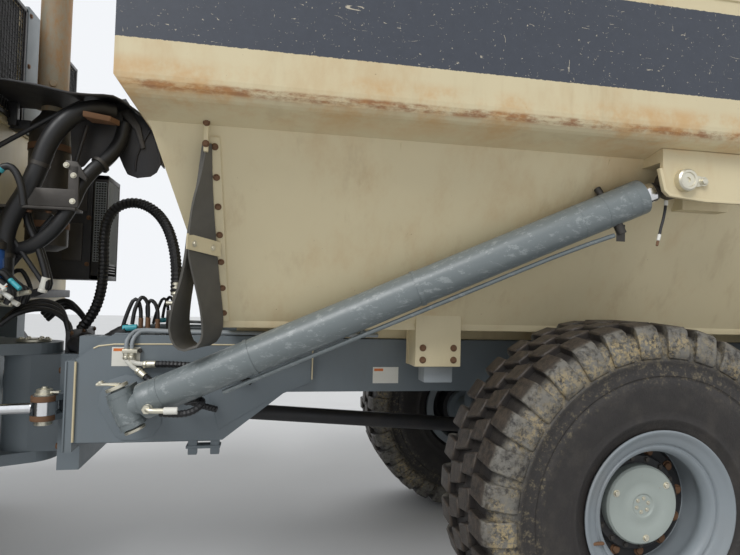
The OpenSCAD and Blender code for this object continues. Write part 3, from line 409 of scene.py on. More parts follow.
def soften(thing, width, segments=2, angle=40):
    """Rounds a piece's sharp edges."""
    take(thing)
    bevel = thing.modifiers.new("edges", "BEVEL")
    bevel.width, bevel.segments, bevel.limit_method = width, segments, "ANGLE"
    bevel.angle_limit = math.radians(angle)
    bpy.ops.object.modifier_apply(modifier=bevel.name)
    return thing


def block(low, high, finish, edge=0.004):
    """A bar or plate with rounded edges, from its two corners."""
    clear()
    low, high = at(*low), at(*high)
    bpy.ops.mesh.primitive_cube_add(size=1, location=(low + high) / 2, scale=high - low)
    bpy.ops.object.transform_apply(location=True, rotation=True, scale=True)
    thing = named("block")
    if edge:
        soften(thing, edge)
    return finish_with(thing, finish)


def outline_plate(outline, plane, start, end, finish, edge=0.003):
    """A plate with a given outline. plane names the two axes of the outline, such as "xz"."""
    clear()
    bpy.ops.mesh.primitive_circle_add(vertices=len(outline), radius=1, fill_type="NGON")
    thing = named("plate")
    third = ({"x", "y", "z"} - set(plane)).pop()
    for vertex, (u, v) in zip(thing.data.vertices, outline):
        spot = {plane[0]: u, plane[1]: v, third: start}
        vertex.co = at(spot["x"], spot["y"], spot["z"])
    edit_all()
    bpy.ops.mesh.extrude_region_move(TRANSFORM_OT_translate={"value": AXIS[third] * (end - start)})
    bpy.ops.mesh.select_all(action="SELECT")
    bpy.ops.mesh.normals_make_consistent(inside=False)
    done()
    if edge:
        soften(thing, edge)
    return finish_with(thing, finish)


def frame_of(direction):
    """Two axes at right angles to a direction."""
    direction = Vector(direction).normalized()
    helper = AXIS["z"] if abs(direction.z) < 0.9 else AXIS["x"]
    side = direction.cross(helper).normalized()
    return direction, side, side.cross(direction).normalized()


def band(inner, outer, low, high):
    """The outline of a plain ring for turned, or of a disc where inner is 0."""
    return [(inner, low), (outer, low), (outer, high), (inner, high)]


def turned(profile, centre, axis, finish, steps=40, smooth=35):
    """A solid of revolution. profile is a closed outline of (radius, height along the axis)."""
    clear()
    axis, side, _ = frame_of(axis)
    centre = at(*centre)
    bpy.ops.mesh.primitive_circle_add(vertices=len(profile), radius=1, fill_type="NOTHING")
    thing = named("turned")
    for vertex, (radius, height) in zip(thing.data.vertices, profile):
        vertex.co = centre + side * radius + axis * height
    edit_all()
    bpy.ops.mesh.spin(steps=steps, angle=2 * math.pi, center=centre, axis=axis)
    bpy.ops.mesh.select_all(action="SELECT")
    bpy.ops.mesh.remove_doubles(threshold=0.0002)
    bpy.ops.mesh.delete_loose()
    bpy.ops.mesh.select_all(action="SELECT")
    bpy.ops.mesh.normals_make_consistent(inside=False)
    done()
    return finish_with(thing, finish, smooth)


def rod(start, end, radius, finish, steps=20, edge=0.002):
    """A round bar with softened ends between two places."""
    start, end = Vector(start), Vector(end)
    length = (end - start).length
    edge = min(edge, radius / 3, length / 3)
    return turned([(0, 0), (radius - edge, 0), (radius, edge), (radius, length - edge), (radius - edge, length),
                   (0, length)], start, end - start, finish, steps)


def smooth_path(points, step=0.02):
    """Points along a smooth curve through the given ones."""
    points = [Vector(p) for p in points]
    ends = [points[0] * 2 - points[1]] + points + [points[-1] * 2 - points[-2]]
    path = []
    for i in range(1, len(ends) - 2):
        a, b, c, d = ends[i - 1: i + 3]
        count = max(2, round((c - b).length / step))
        for k in range(count):
            t = k / count
            path.append(0.5 * (2 * b + (c - a) * t + (2 * a - 5 * b + 4 * c - d) * t ** 2
                               + (3 * b - a - 3 * c + d) * t ** 3))
    return path + [points[-1]]


def hose(points, radius, finish, ribs=0.0, rib_height=0.12, step=0.02, sides=2, smooth=50):
    """A flexible line along a smooth path, with rings of the given pitch when ribs is set."""
    path = smooth_path(points, ribs / 2 if ribs else step)
    clear()
    bpy.ops.curve.primitive_nurbs_path_add()
    thing = named("hose")
    curve = thing.data
    curve.splines.remove(curve.splines[0])
    spline = curve.splines.new("POLY")
    spline.points.add(len(path) - 1)
    for i, place in enumerate(path):
        spline.points[i].co = (*at(*place), 1)
        spline.points[i].radius = 1 + (rib_height if ribs and i % 2 else 0)
    curve.bevel_depth, curve.bevel_resolution, curve.use_fill_caps = radius, sides, True
    bpy.ops.object.convert(target="MESH")
    edit_all()
    bpy.ops.mesh.remove_doubles(threshold=0.00005)
    bpy.ops.mesh.normals_make_consistent(inside=False)
    done()
    return finish_with(bpy.context.object, finish, smooth)


def sheet_of(rows, thick, finish):
    """A plate of one thickness through rows of points."""
    clear()
    bpy.ops.mesh.primitive_grid_add(x_subdivisions=len(rows[0]) - 1, y_subdivisions=len(rows) - 1, size=2)
    thing = named("sheet")
    order = sorted(thing.data.vertices, key=lambda v: (round(v.co.y, 4), round(v.co.x, 4)))
    spots = [p for row in rows for p in row]
    for vertex, spot in zip(order, spots):
        vertex.co = at(*spot)
    take(thing)
    solid = thing.modifiers.new("plate", "SOLIDIFY")
    solid.thickness, solid.offset = thick, 0
    bpy.ops.object.modifier_apply(modifier=solid.name)
    return finish_with(thing, finish, 40)


def bolt(place, axis, size, finish="zinc", height=None, washer=True):
    """A hexagon head on its washer. size is its width across the corners."""
    height = height or size * 0.38
    axis, side, up = frame_of(axis)
    place = at(*place)
    clear()
    turn = Matrix((side, up, axis)).transposed().to_4x4()
    if turn.determinant() < 0:
        turn = Matrix((up, side, axis)).transposed().to_4x4()
    bpy.ops.mesh.primitive_cylinder_add(vertices=6, radius=size / 2, depth=height)
    head = named("bolt")
    head.data.transform(Matrix.Translation(place + axis * height / 2) @ turn)
    soften(head, size * 0.06, 1)
    finish_with(head, finish)
    if not washer:
        return head
    ring = size * 0.1
    clear()
    bpy.ops.mesh.primitive_cylinder_add(vertices=18, radius=size * 0.66, depth=ring)
    disc = named("washer")
    disc.data.transform(Matrix.Translation(place + axis * ring / 2) @ turn)
    finish_with(disc, finish)
    return join([head, disc], "bolt")


def join(things, name):
    """One piece from several."""
    take(*things)
    if len(things) > 1:
        bpy.ops.object.join()
    return named(name)


def settle(thing, name, body, slot, *nodes):
    """Names a finished piece, and says what it moves with and which nodes it stands for; slot is not used."""
    thing.name = thing.data.name = name
    if body:
        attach(thing, body)
    if nodes:
        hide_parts(*nodes)
    return thing


def assemble(parts, name, body, slot, *nodes):
    """Joins parts into one piece and settles it."""
    return settle(join(parts, name), name, body, slot, *nodes)


def piece(parts, name, body, slot, *nodes):
    """Parts joined into one side's piece, with what settle_pair hands to settle for both sides."""
    return (join(parts, name), name, body, slot, *nodes)


def copied(thing, matrix):
    """A copy with its own mesh, moved by a matrix and turned right way out."""
    clear()
    double = thing.copy()
    double.data = thing.data.copy()
    bpy.context.scene.collection.objects.link(double)
    double.data.transform(matrix)
    if matrix.determinant() < 0:
        take(double)
        edit_all()
        bpy.ops.mesh.flip_normals()
        done()
    return double


MIRROR = Matrix.Scale(-1, 4, AXIS["y"])


def mirrored(thing):
    return copied(thing, MIRROR)


def border(x0, x1, low, high, side, end, finish, edge):
    """Four bars round an upright opening across x: side wide at its left and right, end high at top and bottom."""
    (y0, z0), (y1, z1) = low, high
    return [block((x0, *a), (x1, *b), finish, edge)
            for a, b in (((y0, z0), (y1, z0 + end)), ((y0, z1 - end), (y1, z1)), ((y0, z0), (y0 + side, z1)),
                         ((y1 - side, z0), (y1, z1)))]


def at_y(y, *pairs):
    """Places in one upright plane lengthwise, from (x, z) pairs."""
    return [(x, y, z) for x, z in pairs]


# Stage and camera


def make_stage():
    clear()
    bpy.ops.mesh.primitive_plane_add(size=80, location=(0, 0, 0))
    floor = named("floor")
    f = Finish("pale_floor")
    f.set(colour=f.mix(f.noise(0.9, 5.0, 0.6) * 0.6, (0.6, 0.6, 0.6), (0.68, 0.68, 0.67)), rough=0.85)
    floor.data.materials.append(f.material)
    world = bpy.data.worlds.new("daylight")
    bpy.context.scene.world = world
    world.use_nodes = True
    nodes, links = world.node_tree.nodes, world.node_tree.links
    soft = nodes["Background"]
    soft.inputs["Color"].default_value, soft.inputs["Strength"].default_value = (0.94, 0.97, 1.0, 1), 0.62
    seen = nodes.new("ShaderNodeBackground")
    seen.inputs["Color"].default_value, seen.inputs["Strength"].default_value = (0.9, 0.92, 0.95, 1), 1.0
    path, either = nodes.new("ShaderNodeLightPath"), nodes.new("ShaderNodeMath")
    mix, more = nodes.new("ShaderNodeMixShader"), nodes.new("ShaderNodeMath")
    either.operation = more.operation = "MAXIMUM"
    links.new(path.outputs["Is Camera Ray"], either.inputs[0])
    links.new(path.outputs["Is Glossy Ray"], either.inputs[1])
    links.new(either.outputs[0], more.inputs[0])
    links.new(path.outputs["Is Transmission Ray"], more.inputs[1])
    links.new(more.outputs[0], mix.inputs[0])
    links.new(soft.outputs[0], mix.inputs[1])
    links.new(seen.outputs[0], mix.inputs[2])
    links.new(mix.outputs[0], nodes["World Output"].inputs["Surface"])
    for name, turn, power, angle in (("key", (48, 0, -38), 1.55, 26), ("fill", (62, 0, 150), 0.55, 60)):
        bpy.ops.object.light_add(type="SUN", rotation=[math.radians(a) for a in turn])
        lamp = named(name)
        lamp.data.energy, lamp.data.angle = power, math.radians(angle)


def make_camera():
    """The photograph's own view, found from the wheel, the frame, the cylinder and the body."""
    yaw, pitch, roll = (math.radians(a) for a in (10.68, 2.17, 1.42))
    ahead = Vector((math.sin(yaw) * math.cos(pitch), math.cos(yaw) * math.cos(pitch), math.sin(pitch)))
    level = Vector((math.cos(yaw), -math.sin(yaw), 0))
    raised = level.cross(ahead)
    right = level * math.cos(roll) + raised * math.sin(roll)
    up = raised * math.cos(roll) - level * math.sin(roll)
    data = bpy.data.cameras.new("camera")
    data.lens, data.sensor_width, data.clip_end = 27.14, 36.0, 200.0
    camera = bpy.data.objects.new("camera", data)
    bpy.context.scene.collection.objects.link(camera)
    turn = Matrix((right, up, -ahead)).transposed()
    camera.matrix_world = Matrix.Translation(at(-1.663, -3.513, 1.683)) @ turn.to_4x4()
    bpy.context.scene.camera = camera
    bpy.context.scene.view_settings.view_transform = "Standard"


# Finishes of the frame's own nodes

NODE_FINISHES = {
    "cream_body": ("dump_body",),
    "cream_paint": ("cab_shell", "cab_door"),
    "cab_glass": ("cab_glass",),
    "grey_paint": ("tractor_frame", "hitch_yoke", "rear_frame", "axle_front_bogie", "axle_rear_bogie", "front_axle",
                   "walking_beams", "front_bumper", "fuel_tank", "steer_barrel_left", "steer_barrel_right"),
    "cylinder_grey": ("hoist_barrel_left", "hoist_barrel_right", "hoist_swivel_left", "hoist_swivel_right"),
    "chrome": ("hoist_rod_left", "hoist_rod_right", "steer_rod_left", "steer_rod_right"),
    "bonnet_grey": ("bonnet",),
    "black_paint": ("ladder", "rear_shield", "oil_cooler", "intake_pipes", "mirrors", "prop_shafts"),
    "interior_trim": ("front_fenders", "cab_interior"),
    "dark_steel": ("engine",),
    "exhaust_steel": ("exhaust_stack",),
    "flap_rubber": ("spill_flap_left", "spill_flap_right"),
}


def dress_nodes():
    wheels = [f"{place}_{side}" for place in ("front", "mid", "rear") for side in ("left", "right")]
    for finish, nodes in (*NODE_FINISHES.items(), ("tyre_rubber", [f"tyre_{wheel}" for wheel in wheels]),
                          ("wheel_grey", [f"rim_{wheel}" for wheel in wheels])):
        for node in nodes:
            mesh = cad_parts[node].data
            mesh.materials.clear()
            mesh.materials.append(FINISHES[finish])


# Wheels

HUB = (0, -WHEEL_Y, AXLE_Z)
WHEELS = (("mid", 0.0), ("rear", BOGIE_GAP), ("front", FRONT_AXLE))


def round_hub(angle, axis="Y"):
    """A turn about the left front bogie wheel's centre, round its axle unless another axis is named."""
    spot = at(*HUB)
    return Matrix.Translation(spot) @ Matrix.Rotation(angle, 4, axis) @ Matrix.Translation(-spot)


def tread_block(outline, skew):
    """A rubber block whose outline is (outward, radius), as wide round the wheel as its two edges say."""
    half_in, half_out = skew
    thing = outline_plate([(-WHEEL_Y - y, AXLE_Z + r) for y, r in outline], "yz", -0.5, 0.5, "tyre_rubber", 0)
    outward = [p[0] for p in outline]
    for vertex in thing.data.vertices:
        share = (-WHEEL_Y - vertex.co.y - min(outward)) / (max(outward) - min(outward))
        sign = 1 if vertex.co.x > AXLE_X else -1
        low, high = half_in if sign < 0 else half_out
        aside = low + (high - low) * share
        vertex.co.x = AXLE_X + sign * aside
        vertex.co.z = min(vertex.co.z, AXLE_Z + math.sqrt((sizes().tyre_radius - 0.0008) ** 2 - aside ** 2))
    return soften(thing, 0.006, 1, 30)


def make_tyres():
    s = sizes()
    top, wide, groove = s.tyre_radius, s.tyre_width / 2, s.groove
    # (outward, radius) from the rim seat over the shoulder to the tread's middle
    half = [(0.224, 0.331), (0.24, 0.345), (0.256, 0.354), (0.259, 0.372), (0.268, 0.392), (0.275, 0.4),
            (0.276, 0.408), (0.272, 0.416), (0.278, 0.44), (0.287, 0.49), (0.292, 0.54), (0.2925, 0.572),
            (0.288, 0.577), (0.288, 0.583), (0.2925, 0.588), (0.29, 0.615), (0.288, 0.636), (0.2915, 0.642),
            (0.2915, 0.65), (0.284, 0.657), (0.276, 0.69), (0.262, 0.735), (0.228, top - groove - 0.006),
            (0.12, top - groove), (0, top - groove + 0.002)]
    profile = [(r, y) for y, r in half] + [(r, -y) for y, r in reversed(half[:-1])]
    carcass = turned(profile, HUB, LEFTWARD, "tyre_rubber", 99, 45)
    floor = top - groove - 0.01
    lug = tread_block([(0.128, top - 0.001), (0.246, top - 0.008), (0.268, top - 0.022), (wide - 0.003, 0.712),
                       (wide - 0.001, 0.672), (wide - 0.006, 0.655), (wide - 0.03, 0.66), (wide - 0.045, 0.73),
                       (0.215, floor - 0.005), (0.128, floor)], ((0.04, 0.053), (0.052, 0.046)))
    inner = tread_block([(0.004, top), (0.116, top - 0.001), (0.116, floor), (0.004, floor)],
                        ((0.058, 0.04), (0.03, 0.064)))
    pitch = 2 * math.pi / s.lugs
    flip = round_hub(math.pi, "Z")
    blocks = []
    for i in range(s.lugs):
        for source, ahead in ((lug, 0.0), (inner, 0.46)):
            for far, side in ((0.5, Matrix.Identity(4)), (1.0, flip)):
                blocks.append(copied(source, round_hub((i + ahead + far) * pitch) @ side))
    for spare in (lug, inner):
        bpy.data.objects.remove(spare)
    tyre = join([carcass] + blocks, "tyre")
    # tread_finish reads how far each point is from the axle and from the wheel's middle
    mark = tyre.data.attributes.new("wheel_place", "FLOAT_VECTOR", "POINT")
    centre = at(*HUB)
    for i, vertex in enumerate(tyre.data.vertices):
        spot = vertex.co - centre
        mark.data[i].vector = (math.hypot(spot.x, spot.z), abs(spot.y), 0)
    spread_wheels(tyre, "tyre", "tyre")


def spread_wheels(source, part, slot):
    """Puts copies of the left front bogie wheel's piece on all six wheels."""
    for place, x in WHEELS:
        for side, sign in SIDES:
            one = copied(source, (MIRROR if sign > 0 else Matrix.Identity(4)) @ Matrix.Translation((x, 0, 0)))
            settle(one, f"{part}_skin_{place}_{side}", f"wheel_{place}_{side}", slot, f"{part}_{place}_{side}")
    bpy.data.objects.remove(source)


def make_rims():
    out = LEFTWARD
    ring = turned([(0.35, 0.262), (0.356, 0.267), (0.356, 0.272), (0.35, 0.275), (0.342, 0.273), (0.334, 0.264),
                   (0.318, 0.256), (0.3, 0.249), (0.293, 0.243), (0.291, 0.236), (0.285, 0.236), (0.28, 0.241),
                   (0.272, 0.239), (0.262, 0.229), (0.255, 0.214), (0.252, 0.205), (0.252, 0.19), (0.262, 0.17),
                   (0.27, 0.14), (0.27, 0.06), (0.262, 0.05), (0.262, -0.2), (0.278, -0.246),
                   (0.3297, -0.248), (0.3297, 0.24), (0.338, 0.252)], HUB, out, "wheel_grey", 72)
    disc = turned([(0.19, 0.04), (0.269, 0.04), (0.269, 0.056), (0.25, 0.07), (0.19, 0.07)], HUB, out,
                  "black_paint", 60)
    # The hub drum is black: painted shade for the ring between the disc and the hub cover, which lies in shadow.
    drum = turned([(0, -0.2147), (0.18, -0.2147), (0.18, -0.05), (0.212, -0.05), (0.212, 0.092), (0.204, 0.1),
                   (0, 0.1)], HUB, out, "black_paint", 60)
    cover = turned([(0, 0.09), (0.172, 0.09), (0.172, 0.138), (0.164, 0.147), (0.112, 0.149), (0.106, 0.146),
                    (0.07, 0.146), (0.06, 0.149), (0.052, 0.149), (0.046, 0.144), (0, 0.144)], HUB, out,
                   "hub_cover", 60)
    nuts = []
    centre = at(*HUB)
    for count, radius, height, size, finish in ((12, 0.23, 0.07, 0.036, "rusty_steel"),
                                                (3, 0.142, 0.147, 0.024, "zinc"), (6, 0.03, 0.143, 0.014, "zinc"),
                                                (16, 0.193, 0.099, 0.022, "dark_steel")):
        for i in range(count):
            a = 2 * math.pi * (i + 0.3) / count
            spot = centre + Vector((radius * math.cos(a), -height, radius * math.sin(a)))
            nuts.append(bolt((spot.x - AXLE_X, spot.y, spot.z), out, size, finish))
    a = math.radians(200)
    x, z = 0.3 * math.cos(a), AXLE_Z + 0.3 * math.sin(a)
    gap = block((x - 0.03, -WHEEL_Y - 0.262, z - 0.006), (x + 0.022, -WHEEL_Y - 0.246, z + 0.006), "rusty_steel")
    valve = rod((0.1, -WHEEL_Y - 0.05, AXLE_Z + 0.255), (0.095, -WHEEL_Y - 0.215, AXLE_Z + 0.245), 0.006,
                "dark_steel", 10)
    rim = join([ring, disc, drum, cover, gap, valve] + nuts, "rim")
    spread_wheels(rim, "rim", "grey_paint")


# Hoist cylinders

LOW, HIGH = Vector((-2.27, -0.77, 1.152)), Vector((0.185, -1.228, 2.25))
LINE = (HIGH - LOW).normalized()
CROSS = LINE.cross(AXIS["y"]).normalized()
if CROSS.z < 0:
    CROSS = -CROSS
FLANK = CROSS.cross(LINE).normalized()
if FLANK.y > 0:
    FLANK = -FLANK


def on_barrel(along, up=0.0, out=0.0):
    """A place beside the left hoist cylinder: along it from its lower pin, up from it, and out to the side."""
    return LOW + LINE * along + CROSS * up + FLANK * out


def both(make):
    """Makes a set of pieces for the left side and mirrors it for the right."""
    made = make()
    return {"left": made, "right": [(mirrored(thing), *facts) for thing, *facts in made]}


def settle_pair(pieces):
    """Settles the pieces of both sides. {} in a body's or node's name is the side."""
    for side, made in pieces.items():
        for thing, name, body, slot, *nodes in made:
            settle(thing, f"{name}_{side}", body.format(side), slot, *[n.format(side) for n in nodes])


def grease_route(start, sign):
    """The hanging grease hose's path from its nipple, on the side that sign names."""
    return [start + Vector((x, sign * y, z)) for x, y, z in
            ((0, 0, 0), (-0.006, 0.002, -0.03), (-0.016, 0.004, -0.07), (-0.028, 0.005, -0.108),
             (-0.036, 0.006, -0.14))]


def hoist_pieces():
    """The left cylinder's gland, pipe, rod, eyes, pins and grease hose."""
    length = (HIGH - LOW).length
    end = length - 0.15
    gland = turned([(0.053, end - 0.095), (0.0828, end - 0.095), (0.0828, end - 0.052), (0.0795, end - 0.05),
                    (0.0795, end - 0.046), (0.0828, end - 0.044), (0.0828, end - 0.006), (0.079, end + 0.001),
                    (0.06, end + 0.001), (0.053, end - 0.002)],
                   LOW, LINE, "cylinder_grey", 48)
    foot = turned([(0.055, 0.076), (0.075, 0.08), (0.0835, 0.09), (0.0835, 0.15), (0.082, 0.153), (0.055, 0.153)],
                  LOW, LINE, "cylinder_grey", 48)
    weld = turned([(0.08, 0.176), (0.0845, 0.178), (0.0845, 0.186), (0.08, 0.188)], LOW, LINE, "cylinder_grey", 48)
    seams = [turned([(0.08, x), (0.0832, x + 0.001), (0.0832, x + 0.004), (0.08, x + 0.005)], LOW, LINE,
                    "cylinder_grey", 48) for x in (end - 0.32, end - 0.2)]
    port = rod(on_barrel(end - 0.155, -0.07, 0.012), on_barrel(end - 0.155, -0.125, 0.018), 0.022, "dark_steel")
    elbow = block(on_barrel(end - 0.2, -0.146, -0.01) - Vector((0, 0.034, 0)),
                  on_barrel(end - 0.12, -0.092, 0.02) + Vector((0, 0.012, 0)), "dark_steel", 0.006)
    pipe = hose([on_barrel(end - 0.19, -0.118, 0.016), on_barrel(end - 0.5, -0.104, 0.016),
                 on_barrel(1.2, -0.102, 0.014), on_barrel(0.6, -0.1, 0.012), on_barrel(0.44, -0.1, 0.012)],
                0.011, "cylinder_grey", step=0.2, sides=3)
    clips = [turned(band(0.0825, 0.086, x - 0.01, x + 0.01), LOW, LINE, "cylinder_grey") for x in (0.62, 1.45)]
    stub = rod(on_barrel(end - 0.155, 0.07, -0.035), on_barrel(end - 0.155, 0.112, -0.05), 0.016, "dark_steel")
    barrel = join([gland, foot, weld, port, elbow, pipe, stub] + seams + clips, "hoist_barrel_trim")
    shaft = turned(band(0, 0.05, 0.2, length - 0.098), LOW, LINE, "chrome", 40)
    eye = turned([(0.04, -0.026), (0.064, -0.028), (0.068, -0.024), (0.068, 0.024), (0.064, 0.028), (0.04, 0.026)],
                 HIGH, LEFTWARD, "dark_steel", 40)
    bush = turned(band(0.0385, 0.046, -0.028, 0.028), HIGH, LEFTWARD, "chrome", 36)
    neck = turned([(0, length - 0.11), (0.044, length - 0.108), (0.05, length - 0.1), (0.042, length - 0.08),
                   (0.027, length - 0.062), (0, length - 0.062)], LOW, LINE, "dark_steel", 32)
    eye = join([eye, bush, neck], "hoist_eye")
    nipple = rod(on_barrel(length - 0.045, -0.06), on_barrel(length - 0.055, -0.083), 0.009, "label_white", 12)
    route = grease_route(on_barrel(length - 0.055, -0.08), -1)
    line = hose(route, 0.0065, "hose_rubber", step=0.006, sides=3)
    tail = route[-1]
    nut = tail + Vector((-0.008, 0, -0.03))
    fitting = join([rod(tail, nut, 0.008, "label_white", 12),
                    rod(nut, tail + Vector((-0.014, 0, -0.055)), 0.006, "rusty_steel", 12)], "grease_fitting")
    hook = LOW + CROSS * 0.098
    lid = hook + CROSS * 0.016
    disc = rod(hook, lid, 0.05, "zinc", 32)
    keeper = block(lid - Vector((0.085, 0.016, 0.0)), lid + Vector((0.018, 0.014, 0.012)), "zinc")
    head = bolt(hook + CROSS * 0.02 - Vector((0.066, 0, -0.006)), CROSS, 0.028)
    foot_disc = rod(LOW - CROSS * 0.098, LOW - CROSS * 0.112, 0.048, "zinc", 32)
    pin = join([disc, keeper, head, foot_disc], "hoist_pin")
    inlet = on_barrel(0.128, -0.03, 0.06)
    body_of_port = rod(inlet, inlet + FLANK * 0.03, 0.02, "zinc")
    nut = bolt(inlet + FLANK * 0.03, FLANK, 0.044, "zinc", 0.02, False)
    bend = inlet + FLANK * 0.052
    stem = hose([inlet + FLANK * 0.04, bend + Vector((0.02, 0, -0.003)), bend + Vector((0.08, 0, -0.004))], 0.012,
                "zinc", step=0.01, sides=3)
    cuff = rod(bend + Vector((0.075, 0, -0.004)), bend + Vector((0.135, 0, -0.004)), 0.016, "label_white")
    inlet_set = join([body_of_port, nut, stem, cuff], "hoist_inlet")
    return [(barrel, "hoist_barrel_trim", "hoist_barrel_{}", "grey_paint"),
            (inlet_set, "hoist_inlet", "hoist_barrel_{}", "grey_paint"),
            (shaft, "hoist_shaft", "hoist_rod_{}", "rod", "hoist_rod_{}"),
            (eye, "hoist_eye", "hoist_rod_{}", "rod"), (nipple, "grease_nipple", "hoist_rod_{}", "rod"),
            (line, "grease_hose", "hoist_rod_{}", "rubber"), (fitting, "grease_fitting", "hoist_rod_{}", "rod"),
            (pin, "hoist_pin", "hoist_swivel_{}", "grey_paint")]


def make_hoists():
    """Both hoist cylinders' pieces; the length of each hanging grease hose's path is measured and not kept."""
    settle_pair(both(hoist_pieces))
    length = (HIGH - LOW).length
    for side, sign in SIDES:
        out = on_barrel(length - 0.055, -0.08)
        out = at(out.x, sign * abs(out.y), out.z)
        path = smooth_path(grease_route(out, sign), 0.006)
        measured = sum((b - a).length for a, b in zip(path, path[1:]))


# Dump body

SLANT_FOOT, SLANT_UP, SLANT_OUT = (-0.79, 1.53), 0.84, 0.4


def slant_y(z):
    """How far out the body's left slanting panel is at a height."""
    return SLANT_FOOT[0] - (z - SLANT_FOOT[1]) / SLANT_UP * SLANT_OUT


def flap_pieces():
    """The looped rubber flap at the front of the slanting panel, its strip, clamp and bolts."""
    near = [(-1.911, -1.209, 2.293), (-1.933, -1.184, 2.165), (-1.964, -1.153, 2.038), (-1.979, -1.113, 1.878),
            (-1.964, -1.075, 1.776), (-1.945, -1.035, 1.689), (-1.93, -0.99, 1.594), (-1.926, -0.96, 1.505),
            (-1.949, -0.955, 1.454), (-1.999, -0.955, 1.436), (-2.042, -0.955, 1.458), (-2.065, -0.96, 1.525),
            (-2.049, -1.005, 1.626), (-2.012, -1.059, 1.742), (-1.99, -1.102, 1.847), (-1.976, -1.13, 1.957),
            (-1.945, -1.169, 2.117), (-1.922, -1.209, 2.293)]
    far = [(-1.896, -1.17, 2.3), (-1.895, -1.116, 2.182), (-1.89, -1.057, 2.058), (-1.878, -0.98, 1.893),
           (-1.87, -0.93, 1.785), (-1.861, -0.886, 1.692), (-1.853, -0.849, 1.614), (-1.853, -0.812, 1.528),
           (-1.878, -0.812, 1.468), (-1.935, -0.812, 1.445), (-1.981, -0.812, 1.468), (-2.001, -0.816, 1.54),
           (-1.994, -0.863, 1.643), (-1.973, -0.922, 1.769), (-1.956, -0.973, 1.878), (-1.94, -1.022, 1.983),
           (-1.92, -1.088, 2.123), (-1.907, -1.17, 2.3)]
    near, far = smooth_path(near, 0.035), smooth_path(far, 0.035)
    count = min(len(near), len(far))
    rows = []
    for k in range(count):
        a = near[round(k * (len(near) - 1) / (count - 1))]
        b = far[round(k * (len(far) - 1) / (count - 1))]
        rows.append([tuple(a.lerp(b, s / 4)) for s in range(5)])
    flap = sheet_of(rows, 0.01, "flap_rubber")
    facing = Vector((0.8, -0.6, 0))
    across = [Vector((-1.99, -1.128, 0)), Vector((-1.868, -0.974, 0))]
    rows = [[tuple(spot + facing * 0.011 + Vector((0, 0, z - 0.018 * k))) for k, spot in enumerate(across)]
            for z in (1.932, 1.868)]
    parts = [sheet_of(rows, 0.006, "cream_paint"),
             block((-1.92, -1.222, 2.255), (-1.902, -1.2, 2.4), "cream_paint", 0.003)]
    parts += [bolt(across[0].lerp(across[1], s) + facing * 0.014 + Vector((0, 0, 1.895 - 0.012 * s)), facing, 0.022)
              for s in (0.2, 0.75)]
    parts += [bolt((-1.911, -1.222, z), LEFTWARD, 0.022, "rusty_steel") for z in (2.285, 2.37)]
    clamp = join(parts, "flap_clamp")
    lean = math.atan2(SLANT_OUT, SLANT_UP)
    out = Vector((0, -math.cos(lean), -math.sin(lean)))
    strip = outline_plate([(-1.904, 2.325), (-1.862, 2.325), (-1.822, 1.56), (-1.864, 1.56)], "xz", 0, 1,
                          "cream_paint", 0)
    for vertex in strip.data.vertices:
        lift = 0.01 if vertex.co.y > 0.5 else 0.0
        vertex.co.y = slant_y(vertex.co.z) - lift / math.cos(lean)
    take(strip)
    edit_all()
    bpy.ops.mesh.normals_make_consistent(inside=False)
    done()
    heads = []
    for i in range(7):
        z = 1.6 + i * 0.115
        x = -1.843 - (z - 1.56) / 0.765 * 0.04
        heads.append(bolt((x, slant_y(z) - 0.012, z), out, 0.022, "rusty_steel"))
    return [(flap, "spill_flap_skin", "dump_body", "rubber", "spill_flap_{}"),
            piece([clamp, strip] + heads, "flap_strip", "dump_body", "cream_paint")]


